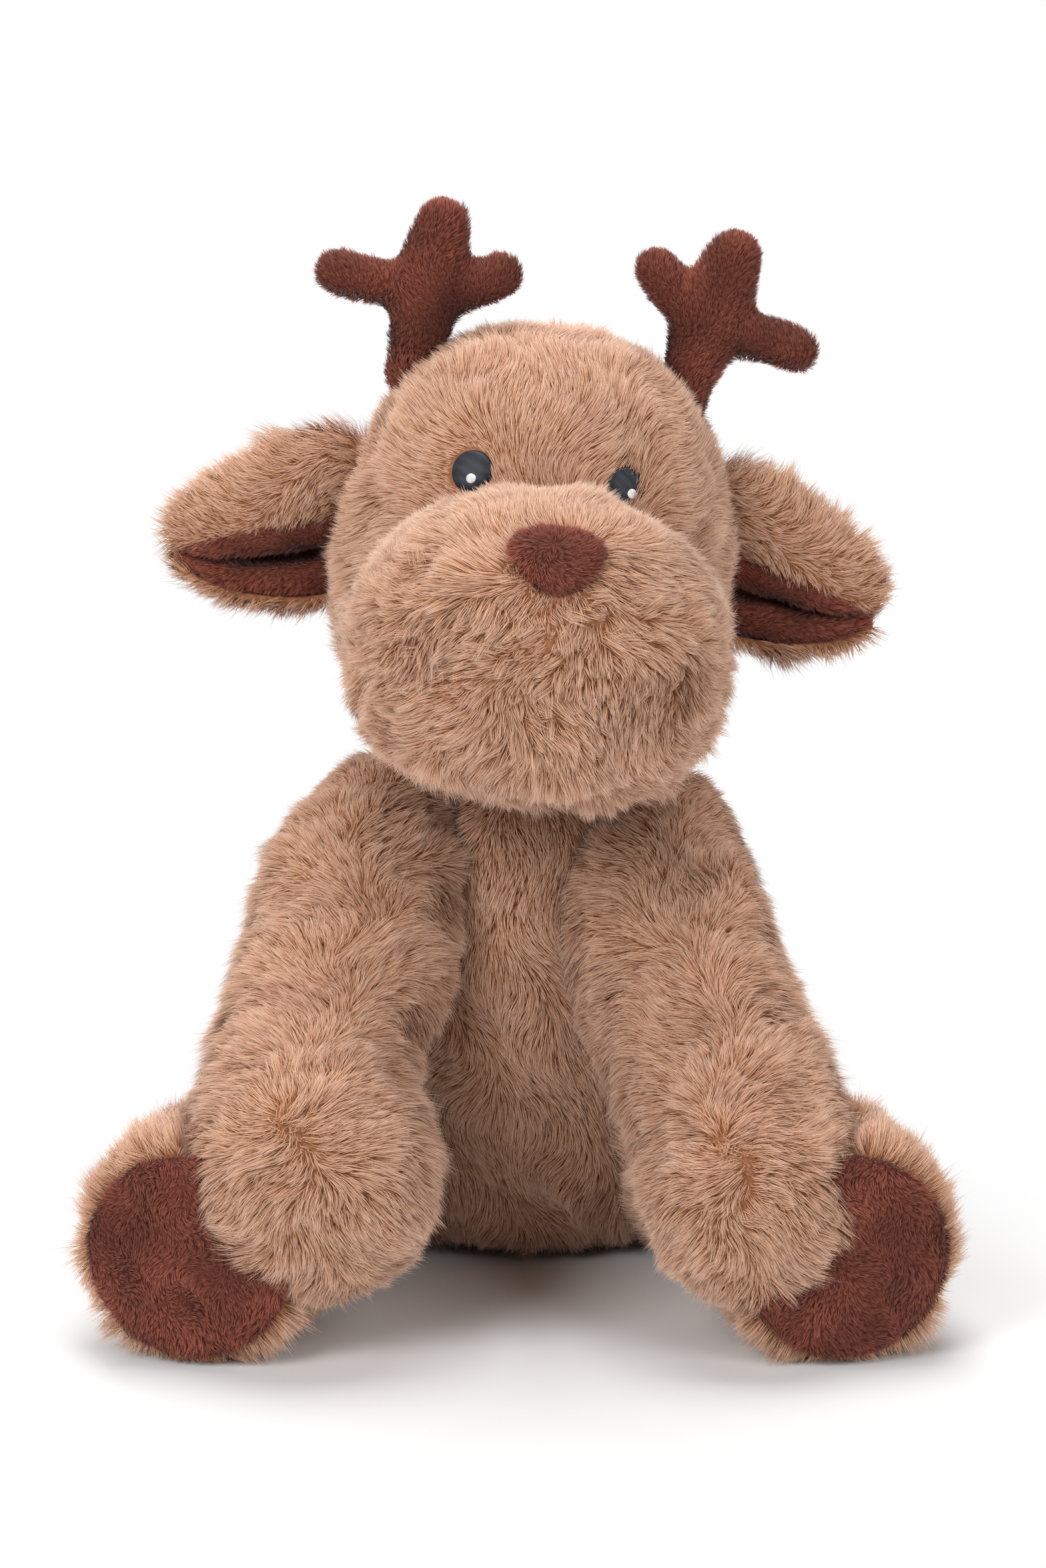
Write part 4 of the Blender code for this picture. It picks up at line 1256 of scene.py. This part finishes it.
def outside_of(*solids, margin=0.0):
    """Keeps the roots that aren't deeper than the margin inside any of these solids."""
    trees = [surface_of(solid) for solid in solids]

    def keep(points, outward):
        kept = np.ones(len(points), dtype=bool)
        for tree in trees:
            for index, point in enumerate(points * MM):
                if kept[index]:
                    spot, normal, face, far = tree.find_nearest(point)
                    kept[index] = (Vector(point) - spot).dot(normal) > -margin * MM
        return kept

    return keep


LEFT_BARE_SHIFT = (3.0, 0.0, 0.8)  # the fur hides the outer rim of the deer's left eye

set_camera()
set_daylight()
lay_floor()
bpy.context.scene.view_settings.view_transform = "Standard"

plain_body = body_form()
plain_body.name = "plain_body"
plain_skull = skull_form()
plain_skull.name = "plain_skull"

torso = fit(make_body(), "torso", "fur_backing", "fur", ("body_skin", "body_filling", "pellet_pouch"))
neck = fit(make_neck(), "neck", "fur_backing", "fur", ("neck_filling",))
skull = fit(make_skull(plain_body), "head", "fur_backing", "fur", ("head_skin", "head_filling"))
muzzle = fit(make_muzzle(), "head", "fur_backing", "fur", ("muzzle_skin", "muzzle_filling"))
nose = fit(make_nose(), "head", "pile_backing", "short_pile", ("nose",))

nose_spot = np.array(head_place() @ mm(NOSE_PLACE)) / MM
lobes = [np.array(head_place() @ mm((side * 23.0, -98.0, -20.0))) / MM for side in (1.0, -1.0)]
eyes = {side: eye_place(side, skull) for side in SIDES}
eye_spots = {side: np.array(place.translation) / MM for side, place in eyes.items()}
bare_spots = [(eye_spots["right"], 5.9, 12.0), (eye_spots["left"] - LEFT_BARE_SHIFT, 4.0, 7.0)]
off_eyes, round_eyes = clear_round(bare_spots)
lid_spots = [(eye_spots["right"], 4.4, 9.0), (eye_spots["left"] - LEFT_BARE_SHIFT, 3.2, 5.5)]
lower_lids, under_eyes = clear_round(lid_spots)
cleft = [np.array(face_spot(muzzle, -0.9, rise)[0]) / MM for rise in (4.5, 2.5, 0.5, -1.5, -3.5)]
off_nose, round_nose = clear_round([(nose_spot, 7.5, 11.5)] + [(spot, 0.7, 3.4) for spot in cleft])
off_muzzle = outside_of(plain_skull, margin=1.0)
off_chin = outside_of(plain_skull, margin=2.0)
off_neck = outside_of(plain_skull, plain_body, margin=3.0)
fur_rows = [
    ("neck_fur", neck, "neck", SMOOTH_FUR, 0.45, towards((0.0, 0.3, -1.0)), off_neck, None),
    ("torso_fur", torso, "torso", SMOOTH_FUR, 0.45, towards((0.0, -0.15, -1.0)), off_chin, None),
    (
        "head_fur",
        skull,
        "head",
        SMOOTH_FUR,
        0.40,
        over_head(nose_spot + (0.0, 0.0, -14.0)),
        both(outside_of(muzzle, margin=1.0), off_eyes),
        round_eyes,
    ),
]
for name, kind, swirl, above in (("muzzle_fur", SMOOTH_FUR, 0.5, True), ("muzzle_tuft_fur", CURLED_FUR, 0.75, False)):
    fur_rows.append(
        (
            name,
            muzzle,
            "head",
            kind,
            swirl,
            over_muzzle(nose_spot, lobes),
            both(both(off_muzzle, half_of_muzzle(above)), both(lower_lids, off_nose)),
            lambda points, outward: under_eyes(points, outward) * round_nose(points, outward),
        )
    )
for side, sign in SIDES.items():
    arm = fit(
        make_arm(side, plain_body),
        side + "_arm",
        "fur_backing",
        "fur",
        (side + "_arm_skin", side + "_arm_filling"),
    )
    lies, trim = down_arm(side), at_shoulder(side)
    fur_rows.append((side + "_arm_fur", arm, side + "_arm", TUFTED_FUR, 0.40, lies, None, trim))
    leg = fit(
        make_leg(side, plain_body),
        side + "_leg",
        "fur_backing",
        "fur",
        (side + "_leg_skin", side + "_leg_filling"),
    )
    along, fringe = along_leg(side)
    fur_rows.append((side + "_leg_fur", leg, side + "_leg", TUFTED_FUR, 0.30, along, off_sole(side, 24.5), fringe))
    sole = fit(
        dome(side + "_sole_plush", sole_place(side), 26.2, 26.2, 3.6),
        side + "_leg",
        "pile_backing",
        "short_pile",
        (side + "_sole",),
    )
    pile = grow(side + "_sole_pile", sole, SHORT_PILE, 50 + int(sign), towards((0.3, -0.3, -1.0)), 0.9, 18.0)
    fit(pile, side + "_leg", "pile", "short_pile")
    antler = fit(
        make_antler(side, plain_skull),
        side + "_antler",
        "pile_backing",
        "short_pile",
        (side + "_antler_skin", side + "_antler_filling"),
    )
    pile = grow(side + "_antler_pile", antler, SHORT_PILE, 60 + int(sign), towards((0.0, 0.5, 1.0)))
    fit(pile, side + "_antler", "pile", "short_pile")
    outer = ear_sheet(side + "_ear_plush", side, EAR_OUTER_LINE, 2.4, 1.0, plain_skull)
    fit(outer, side + "_ear", "fur_backing", "fur", (side + "_ear_outer",))
    keep, trim, lies = round_ear(side)
    fur_rows.append((side + "_ear_fur", outer, side + "_ear", TUFTED_FUR, 0.50, lies, keep, trim))
    lining = ear_sheet(side + "_ear_lining_plush", side, EAR_LINING_LINE, 2.0, 1.4, plain_skull, 0.96)
    fit(lining, side + "_ear", "pile_backing", "short_pile", (side + "_ear_lining",))
    pile = grow(side + "_ear_pile", lining, SHORT_PILE, 70 + int(sign), towards((sign, 0.0, 0.0)))
    fit(pile, side + "_ear", "pile", "short_pile")
    eye = dome(side + "_eye_stitch", eyes[side], EYE_RADIUS, EYE_RADIUS, 1.6)
    fit(eye, "head", "eye", "eye", (side + "_eye",))
    at_glint = eyes[side] @ Matrix.Translation(mm((0.4, -2.0, 1.35)))
    glint = dome(side + "_eye_glint_stitch", at_glint, 1.4, 1.4, 0.4, 6, 20)
    fit(glint, "head", "glint", "glint", (side + "_eye_glint",))
nose_pile = grow("nose_pile", nose, SHORT_PILE, 80, away_from(nose_spot + (0.0, 0.0, 4.0)))
fit(nose_pile, "head", "pile", "short_pile")
for number, (name, base, body, kind, swirl, way, keep, trim) in enumerate(fur_rows):
    fit(grow(name, base, kind, 100 + 10 * number, way, swirl, keep=keep, trim=trim), body, "fur", "fur")
drop(plain_body, plain_skull)
